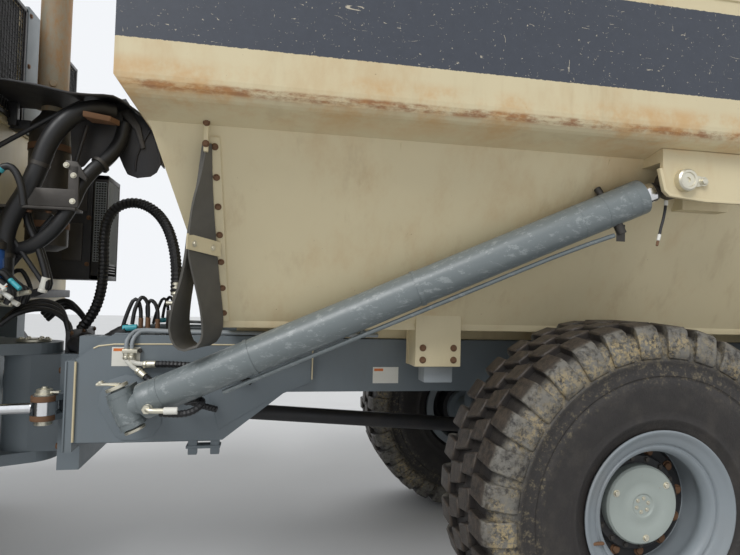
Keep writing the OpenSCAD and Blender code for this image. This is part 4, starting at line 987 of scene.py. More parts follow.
def body_pieces():
    """Bottom rail, guide bracket, pin keeper, weld lines and bolts on the dump body's side."""
    rail = block((-1.858, -0.806, 1.531), (1.7, -0.77, 1.606), "cream_body", 0.004)
    lip = block((-1.858, -0.814, 1.598), (1.7, -0.8, 1.612), "cream_body", 0.003)
    guide = outline_plate([(-0.918, 1.352), (-0.682, 1.352), (-0.682, 1.69), (-0.7, 1.712), (-0.9, 1.712),
                           (-0.918, 1.69)], "xz", -0.826, -0.812, "cream_paint")
    sides = [block((x, -0.815, 1.354), (x + 0.014, -0.652, 1.54), "cream_paint", 0.002) for x in (-0.918, -0.696)]
    shelf = block((-0.918, -0.815, 1.35), (-0.682, -0.652, 1.362), "cream_paint", 0.002)
    heads = [bolt((x, -0.826, z), LEFTWARD, 0.026, "rusty_steel") for x in (-0.88, -0.72) for z in (1.385, 1.445)]
    buffer = block((-0.852, -0.76, 1.262), (-0.7, -0.65, 1.352), "light_grey_paint", 0.006)
    keeper_at = Vector((0.185, -1.3285, 2.25))
    boss = turned([(0, -0.004), (0.05, -0.004), (0.052, 0.004), (0.05, 0.026), (0.043, 0.032), (0.034, 0.031),
                   (0.031, 0.026), (0.012, 0.026), (0.01, 0.02), (0, 0.02)], keeper_at + Vector((0, 0.012, 0)),
                  LEFTWARD, "zinc", 36)
    arm = outline_plate([(0.21, 2.283), (0.29, 2.268), (0.305, 2.25), (0.29, 2.232), (0.21, 2.217)], "xz",
                        -1.327, -1.3142, "zinc")
    lock = bolt((0.276, -1.327, 2.25), LEFTWARD, 0.032)
    edge = outline_plate([(0.06, 2.3), (0.084, 2.2), (0.112, 2.176), (0.3, 2.16), (0.574, 2.16),
                          (0.574, 2.172), (0.304, 2.172), (0.118, 2.188), (0.096, 2.208), (0.074, 2.302)], "xz",
                         -1.316, -1.294, "cream_paint", 0.002)
    seams = [hose([(x, -0.8, 1.62), (x, -1.0, 2.04), (x, -1.186, 2.36)], 0.0035, "cream_body", step=0.3, sides=1)
             for x in (-1.1, -0.1, 0.95)]
    plate = block((0.62, -1.332, 2.31), (0.7, -1.2, 2.33), "cream_paint", 0.002)
    bits = [rail, lip, guide, *sides, shelf, *heads, buffer, boss, arm, lock, edge, *seams, plate]
    rim = [block((-2.15, -1.428, 3.04), (2.0, -1.372, 3.062), "cream_body", 0.006)]
    ribs = [block((x, -1.4235, 2.47), (x + 0.045, -1.415, 3.04), "cream_body", 0.003) for x in (1.15, 2.15)]
    return [piece(bits, "body_trim", "dump_body", "cream_paint"),
            piece(rim + ribs, "body_rim", "dump_body", "cream_paint")]


def make_body():
    settle_pair(both(body_pieces))
    settle_pair(both(flap_pieces))


# Rear frame: labels, doublers, hard lines and guarded hoses

GUARD_TURNS = 0.009
FRAME_SIDE = -0.55


def guarded(points):
    """A hydraulic hose in its spiral guard, whose turns stand out of the hose."""
    return hose(points, sizes().hose * 0.86, "hose_rubber", GUARD_TURNS * 2, 0.18, smooth=20)


def declare(thing, points, diameter, far_end="object", **more):
    """Works out the smooth path through a route's points and keeps nothing; the piece is not used."""
    path = [at(*p) for p in smooth_path(points)]


def ferrule(start, end, finish="zinc", radius=0.021):
    """A hose's crimped end with its nut."""
    start, end = Vector(start), Vector(end)
    axis = end - start
    return [rod(start, end, radius, finish), bolt(start, -axis, radius * 2.3, finish, 0.018, False)]


LIFT_HOSES = {
    "hoist_hose_upper": [(-2.215, -0.574, 1.33), (-2.15, -0.586, 1.332), (-2.06, -0.595, 1.33),
                         (-1.96, -0.598, 1.322), (-1.86, -0.6, 1.302), (-1.78, -0.592, 1.27),
                         (-1.715, -0.574, 1.24)],
    "hoist_hose_lower": [(-2.25, -0.575, 1.288), (-2.205, -0.596, 1.255), (-2.15, -0.615, 1.218),
                         (-2.085, -0.632, 1.185), (-2.02, -0.636, 1.16), (-1.95, -0.615, 1.132),
                         (-1.885, -0.575, 1.105)],
}
LOOP_HOSE = [(-2.105, -0.88, 1.15), (-2.06, -0.883, 1.147), (-2.01, -0.885, 1.147), (-1.97, -0.88, 1.155),
             (-1.942, -0.866, 1.17), (-1.93, -0.838, 1.183), (-1.935, -0.8, 1.19), (-1.962, -0.755, 1.188),
             (-2.0, -0.7, 1.172), (-2.02, -0.65, 1.155)]


def frame_pieces():
    """Weld beads, doublers, labels and brackets on the rear frame's nose, its hard lines and its hoist hoses."""
    outer = FRAME_SIDE
    weld = [hose(at_y(y, *line), radius, "cream_paint", step=0.3, sides=1) for y, line, radius in (
        (outer, ((-2.48, 1.405), (-2.385, 1.426), (-1.9, 1.428), (-1.405, 1.428)), 0.004),
        (outer - 0.008, ((-2.557, 0.95), (-2.557, 1.34)), 0.006), (outer, ((-1.402, 1.425), (-1.402, 1.25)), 0.004))]
    ring = [(-2.448, 1.115), (-2.442, 1.185), (-2.4, 1.25), (-2.325, 1.276), (-2.24, 1.262), (-2.175, 1.205),
            (-2.15, 1.12), (-2.15, 1.03), (-2.185, 0.975), (-2.245, 0.955), (-2.335, 0.955), (-2.365, 0.975)]
    doubler = outline_plate(ring, "xz", outer - 0.006, outer + 0.002, "grey_paint", 0.002)
    patch = outline_plate([(-1.95, 1.26), (-1.915, 1.33), (-1.86, 1.362), (-1.41, 1.362), (-1.41, 1.235),
                           (-1.56, 1.18), (-1.87, 1.0)], "xz", outer - 0.005, outer + 0.002, "grey_paint", 0.002)
    label_one = block((-2.395, outer - 0.0015, 1.318), (-2.262, outer, 1.412), "label_white", 0)
    stripe = block((-2.388, outer - 0.002, 1.392), (-2.34, outer - 0.001, 1.406), "cable_orange", 0)
    label_two = block((-1.067, -0.5065, 1.222), (-0.924, -0.505, 1.31), "label_white", 0)
    stripe_two = block((-1.06, -0.507, 1.288), (-1.01, -0.506, 1.302), "cable_orange", 0)
    brackets = [block((x, -0.535, 0.868), (x + 0.045, -0.5, 0.948), "grey_paint") for x in (-2.02, -1.91)]
    brackets.append(block((-2.03, -0.54, 0.9), (-1.86, -0.47, 0.915), "grey_paint", 0.003))
    flange = block((-2.602, -0.566, 0.905), (-2.594, -0.5, 1.342), "grey_paint", 0.001)
    steel = join(weld + [doubler, patch, label_one, stripe, label_two, stripe_two, flange] + brackets, "frame_trim")

    pipes = []
    clip_y = FRAME_SIDE - 0.024
    for k, (top, drop) in enumerate(((1.496, -2.322), (1.494, -2.296))):
        y = -0.515 - 0.022 * k
        pipes.append(hose([(-1.05, y, top - 0.01), (-1.6, y, top - 0.008), (-2.1, y, top - 0.004),
                           (drop + 0.06, y, top), (drop + 0.02, y - 0.012, top - 0.012),
                           (drop, -0.572, top - 0.05), (drop, clip_y, 1.405)], 0.0105, "light_grey_paint", step=0.03,
                          sides=3))
    pipes.append(block((-2.34, -0.592, 1.385), (-2.268, -0.551, 1.405), "zinc", 0.003))
    for x in (-2.322, -2.296):
        pipes += ferrule((x, clip_y, 1.372), (x, clip_y, 1.408), radius=0.016)
    pipes.append(bolt((-2.262, -0.56, 1.396), LEFTWARD, 0.018, "dark_steel"))
    for tail in ([(-2.296, clip_y, 1.372), (-2.294, -0.576, 1.352), (-2.275, -0.576, 1.336), (-2.225, -0.575, 1.33)],
                 [(-2.322, clip_y, 1.372), (-2.318, -0.576, 1.35), (-2.29, -0.576, 1.318),
                  (-2.255, -0.576, 1.291)]):
        pipes.append(hose(tail, 0.0115, "label_white", step=0.01, sides=3))
    pipes += ferrule((-2.222, -0.575, 1.33), (-2.18, -0.582, 1.3315), "zinc", 0.018)
    pipes += ferrule((-2.256, -0.576, 1.292), (-2.228, -0.588, 1.272), "zinc", 0.018)
    for x in (-1.95, -1.55, -1.15):
        pipes.append(block((x, -0.552, 1.47), (x + 0.03, -0.5, 1.512), "grey_paint", 0.003))
    return [(steel, "frame_trim", "rear", "grey_paint"), piece(pipes, "frame_lines", "rear", "grey_paint"),
            *((guarded(route), name, "rear", "rubber") for name, route in LIFT_HOSES.items())]


def coupling_pieces():
    """The short hoses that loop over the frame's top, and their fittings."""
    routes = (at_y(-0.42, (-2.385, 1.48), (-2.365, 1.56), (-2.335, 1.64), (-2.312, 1.645), (-2.296, 1.6),
                   (-2.292, 1.545)),
              at_y(-0.4, (-2.262, 1.545), (-2.266, 1.615), (-2.25, 1.645), (-2.226, 1.625), (-2.213, 1.58),
                   (-2.212, 1.53)),
              [(-2.33, -0.44, 1.52), (-2.318, -0.44, 1.6), (-2.29, -0.43, 1.66), (-2.262, -0.42, 1.63),
               (-2.256, -0.42, 1.56)])
    bits = [hose(route, 0.01, "hose_rubber", step=0.012, sides=3) for route in routes]
    for x, y, low in ((-2.292, -0.42, 1.465), (-2.256, -0.42, 1.465), (-2.212, -0.4, 1.46), (-2.262, -0.4, 1.47)):
        bits += ferrule((x, y, low + 0.02), (x, y, low + 0.088), "rusty_steel", 0.012)
    bits.append(rod((-2.37, -0.46, 1.5), (-2.3, -0.46, 1.506), 0.016, "cable_blue"))
    bits.append(block((-2.4, -0.5, 1.455), (-2.18, -0.36, 1.478), "grey_paint"))
    return [piece(bits, "coupling_hoses", "rear", "rubber")]


CONDUIT = [(-2.68, 0.02, 1.36), (-2.682, 0.02, 1.41), (-2.709, 0.02, 1.461), (-2.669, 0.02, 1.524),
           (-2.63, 0.02, 1.607), (-2.607, 0.02, 1.722), (-2.603, 0.02, 1.857), (-2.606, 0.02, 1.992),
           (-2.593, 0.02, 2.102), (-2.55, 0.02, 2.18), (-2.477, 0.02, 2.218), (-2.394, 0.015, 2.213),
           (-2.305, -0.03, 2.16), (-2.231, -0.1, 2.067), (-2.179, -0.175, 1.942), (-2.152, -0.235, 1.81),
           (-2.146, -0.262, 1.69)]
SLEEVE = [(-2.69, -0.175, 1.375), (-2.672, -0.215, 1.392), (-2.64, -0.262, 1.395), (-2.595, -0.312, 1.388),
          (-2.53, -0.36, 1.395), (-2.46, -0.4, 1.425), (-2.4, -0.43, 1.462), (-2.345, -0.445, 1.488)]


def make_lines():
    """Everything that crosses from the hitch to the rear frame, and the frame's own lines."""
    settle_pair(both(frame_pieces))
    settle_pair(both(coupling_pieces))
    for side, sign in SIDES:
        for name, route in LIFT_HOSES.items():
            declare(bpy.data.objects[f"{name}_{side}"], [(x, -sign * y, z) for x, y, z in route], 0.034)
        loop = [(x, -sign * y, z) for x, y, z in LOOP_HOSE]
        thing = settle(guarded(loop), f"hoist_loop_hose_{side}", f"hoist_barrel_{side}", "rubber")
        declare(thing, loop, 0.034)
    end = Vector(CONDUIT[-1])
    bits = ferrule(end, end + Vector((0.002, 0.004, 0.055)), "zinc", 0.026)
    bits += [rod(end, end - Vector((0, 0.004, 0.1)), 0.016, "zinc"), rod(end - Vector((0, 0.004, 0.06)),
             end - Vector((0.05, 0.004, 0.06)), 0.012, "zinc")]
    plug = assemble(bits, "conduit_end", "rear", "grey_paint")
    post = block((-2.185, -0.315, 1.452), (-2.105, -0.215, 1.592), "dark_steel", 0.005)
    settle(post, "conduit_post", "rear", "grey_paint")
    conduit = hose(CONDUIT, sizes().conduit * 0.88, "hose_rubber", 0.022, 0.17, sides=3, smooth=20)
    settle(conduit, "conduit", None, "rubber")
    tuple(at(*CONDUIT[1]))
    tuple(at(*CONDUIT[-2]))
    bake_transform(conduit)
    declare(conduit, CONDUIT, 0.062, "connector", with_pieces=[plug])
    sleeve = hose(SLEEVE, 0.037, "hose_rubber", 0.036, 0.05, sides=3)
    settle(sleeve, "hose_sleeve", None, "rubber")
    tuple(at(*SLEEVE[1]))
    tuple(at(*SLEEVE[-2]))
    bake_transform(sleeve)
    declare(sleeve, SLEEVE, 0.076)
    clamp = [block((-2.714, -0.23, 1.345), (-2.69, 0.23, 1.47), "black_paint"),
             block((-2.73, -0.025, 1.42), (-2.652, 0.065, 1.448), "black_paint", 0.006)]
    clamp += ferrule((-2.684, 0.02, 1.392), (-2.682, 0.02, 1.44), "dark_steel", 0.036)
    clamp += [bolt((-2.69, y, z), BEHIND, 0.022, "rusty_steel") for y in (-0.21, 0.0, 0.21) for z in (1.375, 1.455)]
    assemble(clamp, "hose_bracket", "hitch", "black_paint")


def hitch_pieces():
    """Pin heads, bolts and weld beads on the hitch and the steering eyes."""
    bits = []
    x, y, z = -2.745, -0.4, 1.09
    for low, high, r in ((0.062, 0.074, 0.046), (0.072, 0.094, 0.038), (-0.086, -0.062, 0.042)):
        bits.append(rod((x, y, z + low), (x, y, z + high), r, "zinc", 28))
    bits.append(bolt((x, y, z + 0.094), UP, 0.03))
    bits.append(block((x - 0.01, y - 0.02, z + 0.074), (x + 0.075, y + 0.012, z + 0.084), "zinc", 0.003))
    for h in (-0.062, 0.034):
        bits.append(turned([(0.052, h), (0.06, h), (0.0605, h + 0.004), (0.0605, h + 0.024), (0.06, h + 0.028),
                            (0.052, h + 0.028)], (x, y, z), UP, "rusty_steel", 32))
    for dy in (-0.26, -0.2):
        for h in (0.86, 1.26):
            bits.append(bolt((-2.711, dy, h), AHEAD, 0.036, "rusty_steel"))
    return [piece(bits, "hitch_trim", "hitch", "grey_paint")]


def make_hitch():
    settle_pair(both(hitch_pieces))
    rings = []
    for low in (1.3905, 0.7225):
        rings.append(turned([(0, low), (0.085, low), (0.088, low + 0.003), (0.088, low + 0.014), (0.08, low + 0.017),
                             (0, low + 0.017)], (PIVOT_X, 0, 0), UP, "zinc"))
    for i in range(6):
        a = math.radians(60 * i + 15)
        rings.append(bolt((PIVOT_X + 0.066 * math.cos(a), 0.066 * math.sin(a), 1.4075), UP, 0.022))
    assemble(rings, "pivot_caps", "tractor", "grey_paint")


# What stands behind the cab


def grid_guard(low, high, across, up, pitch, wire, finish="black_paint"):
    """A flat wire guard: wires along two axes inside a box's corners."""
    low, high = Vector(low), Vector(high)
    bars = []
    for along, over in ((across, up), (up, across)):
        i, j = "xyz".index(along), "xyz".index(over)
        count = max(2, round((high[j] - low[j]) / pitch))
        for k in range(count + 1):
            start, end = low.copy(), high.copy()
            start[j] = end[j] = low[j] + (high[j] - low[j]) * k / count
            third = 3 - i - j
            start[third] = end[third] = (low[third] + high[third]) / 2 + (wire * 0.8 if along == up else -wire * 0.8)
            clear()
            bpy.ops.mesh.primitive_cylinder_add(vertices=6, radius=wire, depth=(end - start).length)
            bar = named("wire")
            turn = AXIS["z"].rotation_difference((end - start).normalized()).to_matrix().to_4x4()
            bar.data.transform(Matrix.Translation(at(*((start + end) / 2))) @ turn)
            bars.append(bar)
    guard = join(bars, "guard")
    return finish_with(guard, finish, 60)


def shield_rows():
    """Rows of points across the hood that keeps heat off the body, from the cab's wall to its drooping rear edge."""
    table = ((-3.03, 2.69, -0.6, 2.69), (-2.9, 2.69, -0.6, 2.686), (-2.76, 2.69, -0.598, 2.672),
             (-2.64, 2.7, -0.58, 2.656), (-2.54, 2.722, -0.54, 2.668), (-2.46, 2.738, -0.48, 2.69),
             (-2.4, 2.7, -0.41, 2.672), (-2.33, 2.64, -0.345, 2.628), (-2.285, 2.56, -0.3, 2.552),
             (-2.262, 2.47, -0.285, 2.466), (-2.25, 2.4, -0.28, 2.398))
    rows = []
    for x, inner_z, near_y, near_z in table:
        row = []
        for k in range(9):
            s = k / 8
            y = near_y + (-0.16 - near_y) * s
            z = near_z + (inner_z - near_z) * math.sin(s * math.pi / 2)
            row.append((x, y, z))
        rows.append(row)
    return rows


def make_exhaust():
    """The stack with its rims, silencer, bands and stay."""
    x, y = -2.84, -0.2
    foot = (x, y, 0)
    tube = turned([(0.07, 2.735), (0.0755, 2.735), (0.0755, 3.404), (0.0765, 3.41), (0.07, 3.41)], foot, UP,
                  "exhaust_steel", 48)
    rims = [turned([(0.06, h), (r - 0.004, h), (r, h + 0.004), (r, h + 0.009), (r - 0.004, h + 0.013),
                    (0.06, h + 0.013)], foot, UP, "exhaust_steel", 48)
            for r, h in ((0.118, 2.69), (0.104, 2.7045), (0.088, 2.719))]
    neck = turned(band(0, 0.052, 2.6, 2.692), foot, UP, "exhaust_steel")
    can = turned([(0, 1.9), (0.06, 1.9), (0.104, 1.925), (0.105, 1.94), (0.105, 2.56), (0.1, 2.59),
                  (0.06, 2.64), (0.052, 2.66), (0, 2.66)], foot, UP, "dark_steel", 48)
    bands = [turned(band(0.1, 0.11, h, h + 0.035), foot, UP, "rusty_steel", 48) for h in (2.02, 2.44)]
    stay = block((CAB_BACK + 0.002, y - 0.04, 2.55), (x - 0.09, y + 0.04, 2.6), "black_paint")
    seam = hose(at_y(y - 0.022, (x - 0.072, 2.74), (x - 0.072, 3.4)), 0.003, "exhaust_steel", step=0.4, sides=1)
    plug = rod((x + 0.02, y - 0.07, 2.8), (x + 0.025, y - 0.082, 2.8), 0.018, "exhaust_steel")
    assemble([tube, *rims, neck, can, *bands, stay, seam, plug], "exhaust", "tractor", "grey_paint", "exhaust_stack")


def make_shield():
    """The hood that keeps the exhaust's heat off the body: plate, skirt, folds, legs and bolts."""
    plate = sheet_of(shield_rows(), 0.006, "black_paint")
    edge = hose([row[0] for row in shield_rows()], 0.0065, "black_paint", step=0.05)
    skirt = outline_plate([(-2.58, 2.7), (-2.514, 2.733), (-2.444, 2.748), (-2.396, 2.68), (-2.318, 2.622),
                           (-2.276, 2.552), (-2.248, 2.47), (-2.246, 2.4), (-2.268, 2.35), (-2.3, 2.325),
                           (-2.368, 2.313), (-2.42, 2.33), (-2.442, 2.372), (-2.47, 2.436), (-2.522, 2.562),
                           (-2.592, 2.652)], "xz", -0.285, -0.277, "black_paint", 0.003)
    folds = [hose([(-2.3, -0.288, 2.6), (-2.34, -0.289, 2.52), (-2.375, -0.288, 2.43), (-2.38, -0.286, 2.35)],
                  0.006, "black_paint", step=0.05),
             outline_plate([(-2.56, 2.64), (-2.42, 2.69), (-2.36, 2.6), (-2.33, 2.48), (-2.35, 2.47),
                            (-2.385, 2.57), (-2.45, 2.64)], "xz", -0.3, -0.286, "dark_steel", 0.005)]
    inner = outline_plate([(-2.708, 2.583), (-2.643, 2.665), (-2.574, 2.68), (-2.504, 2.68), (-2.451, 2.655),
                           (-2.437, 2.562), (-2.463, 2.462), (-2.502, 2.41), (-2.556, 2.379), (-2.596, 2.398),
                           (-2.629, 2.352), (-2.687, 2.316)], "xz", -0.325, -0.317, "black_paint", 0.003)
    tab = outline_plate([(-2.585, -0.53), (-2.47, -0.47), (-2.44, -0.4), (-2.57, -0.42)], "xy", 2.56, 2.59,
                        "rusty_steel", 0.004)
    legs = [block((CAB_BACK + 0.004, y - 0.02, 2.56), (-2.99, y + 0.02, 2.688), "black_paint") for y in (-0.55, -0.25)]
    legs.append(hose(at_y(-0.4, (-3.03, 2.4), (-2.8, 2.56), (-2.62, 2.68)), 0.013, "black_paint", step=0.2))
    heads = [bolt((x, -0.32, 2.695), UP, 0.024, "rusty_steel") for x in (-2.95, -2.8, -2.65)]
    assemble([plate, edge, skirt, inner, *folds, tab, *legs, *heads], "rear_hood", "tractor", "black_paint",
             "rear_shield")


def make_cooler():
    """The cooler's box with its frame, two mesh sides, fins and cover plates."""
    x0, x1, y0, y1, z0, z1 = CAB_BACK + 0.002, -2.68, 0.345, 0.64, 1.76, 2.44
    bits = [block((x0, y0, z0), (x1 - 0.09, y1, z1), "black_paint", 0.01),
            block((x1 - 0.09, y0 + 0.01, z0 + 0.02), (x1 - 0.075, y1 - 0.01, z1 - 0.02), "dark_steel", 0.002)]
    bits += border(x1 - 0.085, x1, (y0, z0), (y1, z1), 0.02, 0.03, "black_paint", 0.003)
    bits += [grid_guard((x1 - 0.008, y0 + 0.02, z0 + 0.1), (x1 - 0.008, y1 - 0.02, z1 - 0.03), "y", "z", 0.022,
                        0.0038, "light_grey_paint"),
             grid_guard((x1 - 0.075, y0 - 0.003, z0 + 0.12), (x1 - 0.01, y0 - 0.003, z1 - 0.05), "x", "z", 0.016,
                        0.0035, "light_grey_paint")]
    for k in range(4):
        z = z0 + 0.045 + 0.018 * k
        bits.append(block((x1 - 0.012, y0 + 0.04, z), (x1 - 0.002, y1 - 0.04, z + 0.008), "dark_steel", 0.001))
    bits.append(block((x0 + 0.1, y0 - 0.014, z0 + 0.12), (x1 - 0.14, y0, z0 + 0.36), "dark_steel"))
    bits.append(block((x0 + 0.06, y0 - 0.01, z1 - 0.24), (x1 - 0.12, y0, z1 - 0.06), "dark_steel"))
    for dz in (0.1, 0.4, 0.66):
        bits.append(bolt((x1 - 0.11, y0, z0 + dz), LEFTWARD, 0.022, "rusty_steel"))
    assemble(bits, "cooler", "tractor", "black_paint", "oil_cooler")


def make_pipes():
    """The air pipe from the filter's box, the duct beside it, and their cuffs."""
    main = hose([(-2.93, -0.48, 1.655), (-2.93, -0.48, 1.8), (-2.93, -0.482, 1.95), (-2.895, -0.49, 2.06),
                 (-2.835, -0.497, 2.17), (-2.788, -0.499, 2.29), (-2.752, -0.498, 2.41), (-2.7, -0.49, 2.51),
                 (-2.63, -0.47, 2.59), (-2.55, -0.43, 2.632), (-2.48, -0.38, 2.64)], 0.046, "hose_rubber",
                step=0.03, sides=5)
    duct = hose([(-2.44, -0.3, 2.6), (-2.452, -0.32, 2.51), (-2.475, -0.355, 2.435), (-2.508, -0.395, 2.37),
                 (-2.552, -0.43, 2.312), (-2.602, -0.455, 2.225), (-2.635, -0.465, 2.13), (-2.68, -0.47, 2.04),
                 (-2.745, -0.465, 1.96), (-2.83, -0.45, 1.9), (-2.93, -0.43, 1.88)], 0.036, "hose_rubber",
                step=0.03, sides=4)
    cuffs = [rod(a, b, 0.0485, "dark_steel", 36, 0.001) for a, b in (
        ((-2.93, -0.48, 1.84), (-2.93, -0.48, 1.862)), ((-2.784, -0.499, 2.3), (-2.779, -0.499, 2.32)),
        ((-2.52, -0.405, 2.354), (-2.53, -0.412, 2.34)))]
    foot = turned([(0, 1.65), (0.064, 1.65), (0.065, 1.66), (0.065, 1.72), (0.05, 1.75), (0, 1.75)],
                  (-2.93, -0.48, 0), UP, "black_paint")
    cap = block((CAB_BACK + 0.002, -0.47, 2.055), (-2.88, -0.44, 2.083), "black_paint")
    assemble([main, duct, *cuffs, foot, cap], "air_pipe", "tractor", "black_paint", "intake_pipes")


def make_brackets():
    """The brackets, struts, filter and hoses between the cab and the pivot."""
    bits = [block((CAB_BACK + 0.004, -0.525, 2.085), (-2.6, -0.4, 2.1), "dark_steel"),
            block((-2.86, -0.525, 2.1), (-2.6, -0.512, 2.19), "dark_steel"),
            block((-2.64, -0.524, 2.1), (-2.59, -0.508, 2.31), "dark_steel"),
            outline_plate([(-2.66, 2.3), (-2.56, 2.235), (-2.552, 2.25), (-2.6, 2.33), (-2.655, 2.335)], "xz",
                          -0.524, -0.509, "dark_steel"),
            hose([(-3.0, -0.6, 2.06), (-2.96, -0.61, 2.14), (-2.93, -0.615, 2.206), (-2.906, -0.62, 2.251),
                  (-2.873, -0.62, 2.267), (-2.842, -0.62, 2.246), (-2.813, -0.62, 2.181), (-2.8, -0.61, 2.086)],
                 0.017, "hose_rubber", sides=4),
            rod((-2.912, -0.62, 2.242), (-2.9, -0.62, 2.258), 0.0195, "cable_blue", 24, 0.001),
            block((CAB_BACK + 0.004, -0.66, 1.64), (-2.98, 0.66, 1.69), "black_paint", 0.006)]
    for spot in ((-2.83, -0.47, 2.082), (-2.74, -0.47, 2.082), (-2.66, -0.45, 2.082)):
        bits.append(bolt(spot, DOWN, 0.026, "rusty_steel"))
    for spot in ((-2.615, -0.525, 2.13), (-2.615, -0.525, 2.26), (-2.65, -0.525, 2.31)):
        bits.append(bolt(spot, LEFTWARD, 0.022))
    bits += [rod(a, b, r, "black_paint", 14) for a, b, r in (
        ((-2.99, -0.47, 2.07), (-2.74, -0.46, 1.7), 0.012), ((-2.74, -0.4, 2.07), (-3.0, -0.4, 1.7), 0.014),
        ((-2.66, -0.4, 2.29), (-2.6, -0.4, 2.55), 0.01))]
    assemble(bits, "rear_brackets", "tractor", "black_paint")
    filter_x, filter_y = -2.955, -0.545
    can = turned([(0, 1.7), (0.046, 1.7), (0.052, 1.706), (0.052, 1.868), (0.047, 1.876), (0, 1.876)],
                 (filter_x, filter_y, 0), UP, "filter_blue", 40)
    head = turned([(0, 1.876), (0.058, 1.876), (0.058, 1.91), (0.04, 1.925), (0, 1.925)], (filter_x, filter_y, 0),
                  UP, "dark_steel")
    arm = block((CAB_BACK + 0.004, filter_y - 0.03, 1.885), (filter_x, filter_y + 0.03, 1.905), "dark_steel", 0.003)
    assemble([can, head, arm], "filter", "tractor", "black_paint")


def make_rear_hoses():
    """Hoses, cables and connectors clipped below the cab, and the run over the pivot to the hitch."""
    rng = random.Random(11)
    bits = []
    drop = [(-2.86, -0.44, 2.085), (-2.842, -0.448, 2.02), (-2.8, -0.455, 1.93), (-2.76, -0.46, 1.82),
            (-2.735, -0.462, 1.72), (-2.755, -0.455, 1.69), (-2.815, -0.44, 1.665)]
    for offset in (0, 0.035):
        bits.append(hose([(x, y + offset, z) for x, y, z in drop], 0.016, "hose_rubber", step=0.03, sides=3))
    bits += ferrule((-2.754, -0.458, 1.692), (-2.74, -0.462, 1.75), "label_white", 0.02)
    for k in range(9):
        y = -0.6 + 0.03 * k
        z = 1.65 + 0.012 * (k % 3)
        reach = rng.uniform(-0.03, 0.04)
        bits.append(hose([(-3.02, y, z + rng.uniform(0, 0.1)), (-2.96, y + rng.uniform(-0.01, 0.01), z + 0.085),
                          (-2.895, y + rng.uniform(-0.01, 0.02), z + 0.07 + reach),
                          (-2.855, y + 0.02, z + 0.02), (-2.87, y + 0.03, z - 0.035)],
                         rng.choice((0.011, 0.013, 0.016)), "hose_rubber"))
    for x, y, z, finish in ((-2.905, -0.6, 1.64, "label_white"), (-2.88, -0.59, 1.595, "cable_white"),
                            (-2.85, -0.57, 1.645, "cable_blue"), (-2.93, -0.6, 1.56, "cable_white"),
                            (-2.865, -0.56, 1.56, "label_white"), (-2.96, -0.61, 1.6, "cable_blue"),
                            (-2.835, -0.52, 1.59, "zinc"), (-2.9, -0.56, 1.54, "zinc")):
        tilt = Vector((rng.uniform(0.3, 1.0), -0.1, rng.uniform(-0.6, 0.4))).normalized()
        spot = Vector((x, y, z + 0.075))
        bits += ferrule(spot, spot + tilt * 0.052, finish, 0.012)
    for k, finish in enumerate(("cable_white", "cable_blue", "cable_orange", "cable_white")):
        bits.append(hose([(-3.02, -0.61, 1.75 - 0.02 * k), (-2.96, -0.625, 1.735 - 0.022 * k),
                          (-2.9, -0.622, 1.7 - 0.012 * k), (-2.86, -0.6, 1.68 + 0.01 * k)], 0.0045, finish))
    block_low = block((-2.985, -0.59, 1.63), (-2.905, -0.38, 1.68), "dark_steel", 0.006)
    taps = [bolt((-2.904, y, 1.655), BEHIND, 0.032) for y in (-0.56, -0.5, -0.44)]
    assemble([*bits, block_low, *taps], "rear_hoses", "tractor", "rubber")
    for side, sign in SIDES:
        runs = []
        for k in range(3):
            y = sign * (0.33 - 0.045 * k)
            runs.append(hose([(-3.0, y, 1.5 + 0.02 * k), (-2.93, y * 0.92, 1.56 + 0.02 * k),
                              (-2.85, y * 0.72, 1.585 + 0.02 * k), (-2.78, y * 0.55, 1.56 + 0.015 * k),
                              (-2.725, sign * (0.15 + 0.012 * k), 1.5), (-2.712, sign * (0.155 + 0.012 * k), 1.44)],
                             0.015, "hose_rubber"))
        run = assemble(runs, f"pivot_hoses_{side}", None, "rubber")
        tuple(at(-2.98, sign * 0.28, 1.52))
        tuple(at(-2.735, sign * 0.155, 1.5))
        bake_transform(run)


# Cab, inside and out

SCREEN_LEAN = 0.2784
DOOR_SIDE = -0.7965


def screen(y, z, out=0.0):
    """A place on the cab's leaning front wall."""
    return (-4.67 + (z - 2.3) * SCREEN_LEAN - out, y, z)


def seal(corners):
    """Rubber strips round an opening."""
    return [rod(a, b, 0.01, "hose_rubber", 10, 0.001) for a, b in zip(corners, corners[1:] + corners[:1])]


def opening(plane, where, low, high):
    """The corners of an upright opening in a wall across x or y."""
    spots = ((low[0], low[1]), (high[0], low[1]), (high[0], high[1]), (low[0], high[1]))
    return [(where, a, z) if plane == "x" else (a, where, z) for a, z in spots]


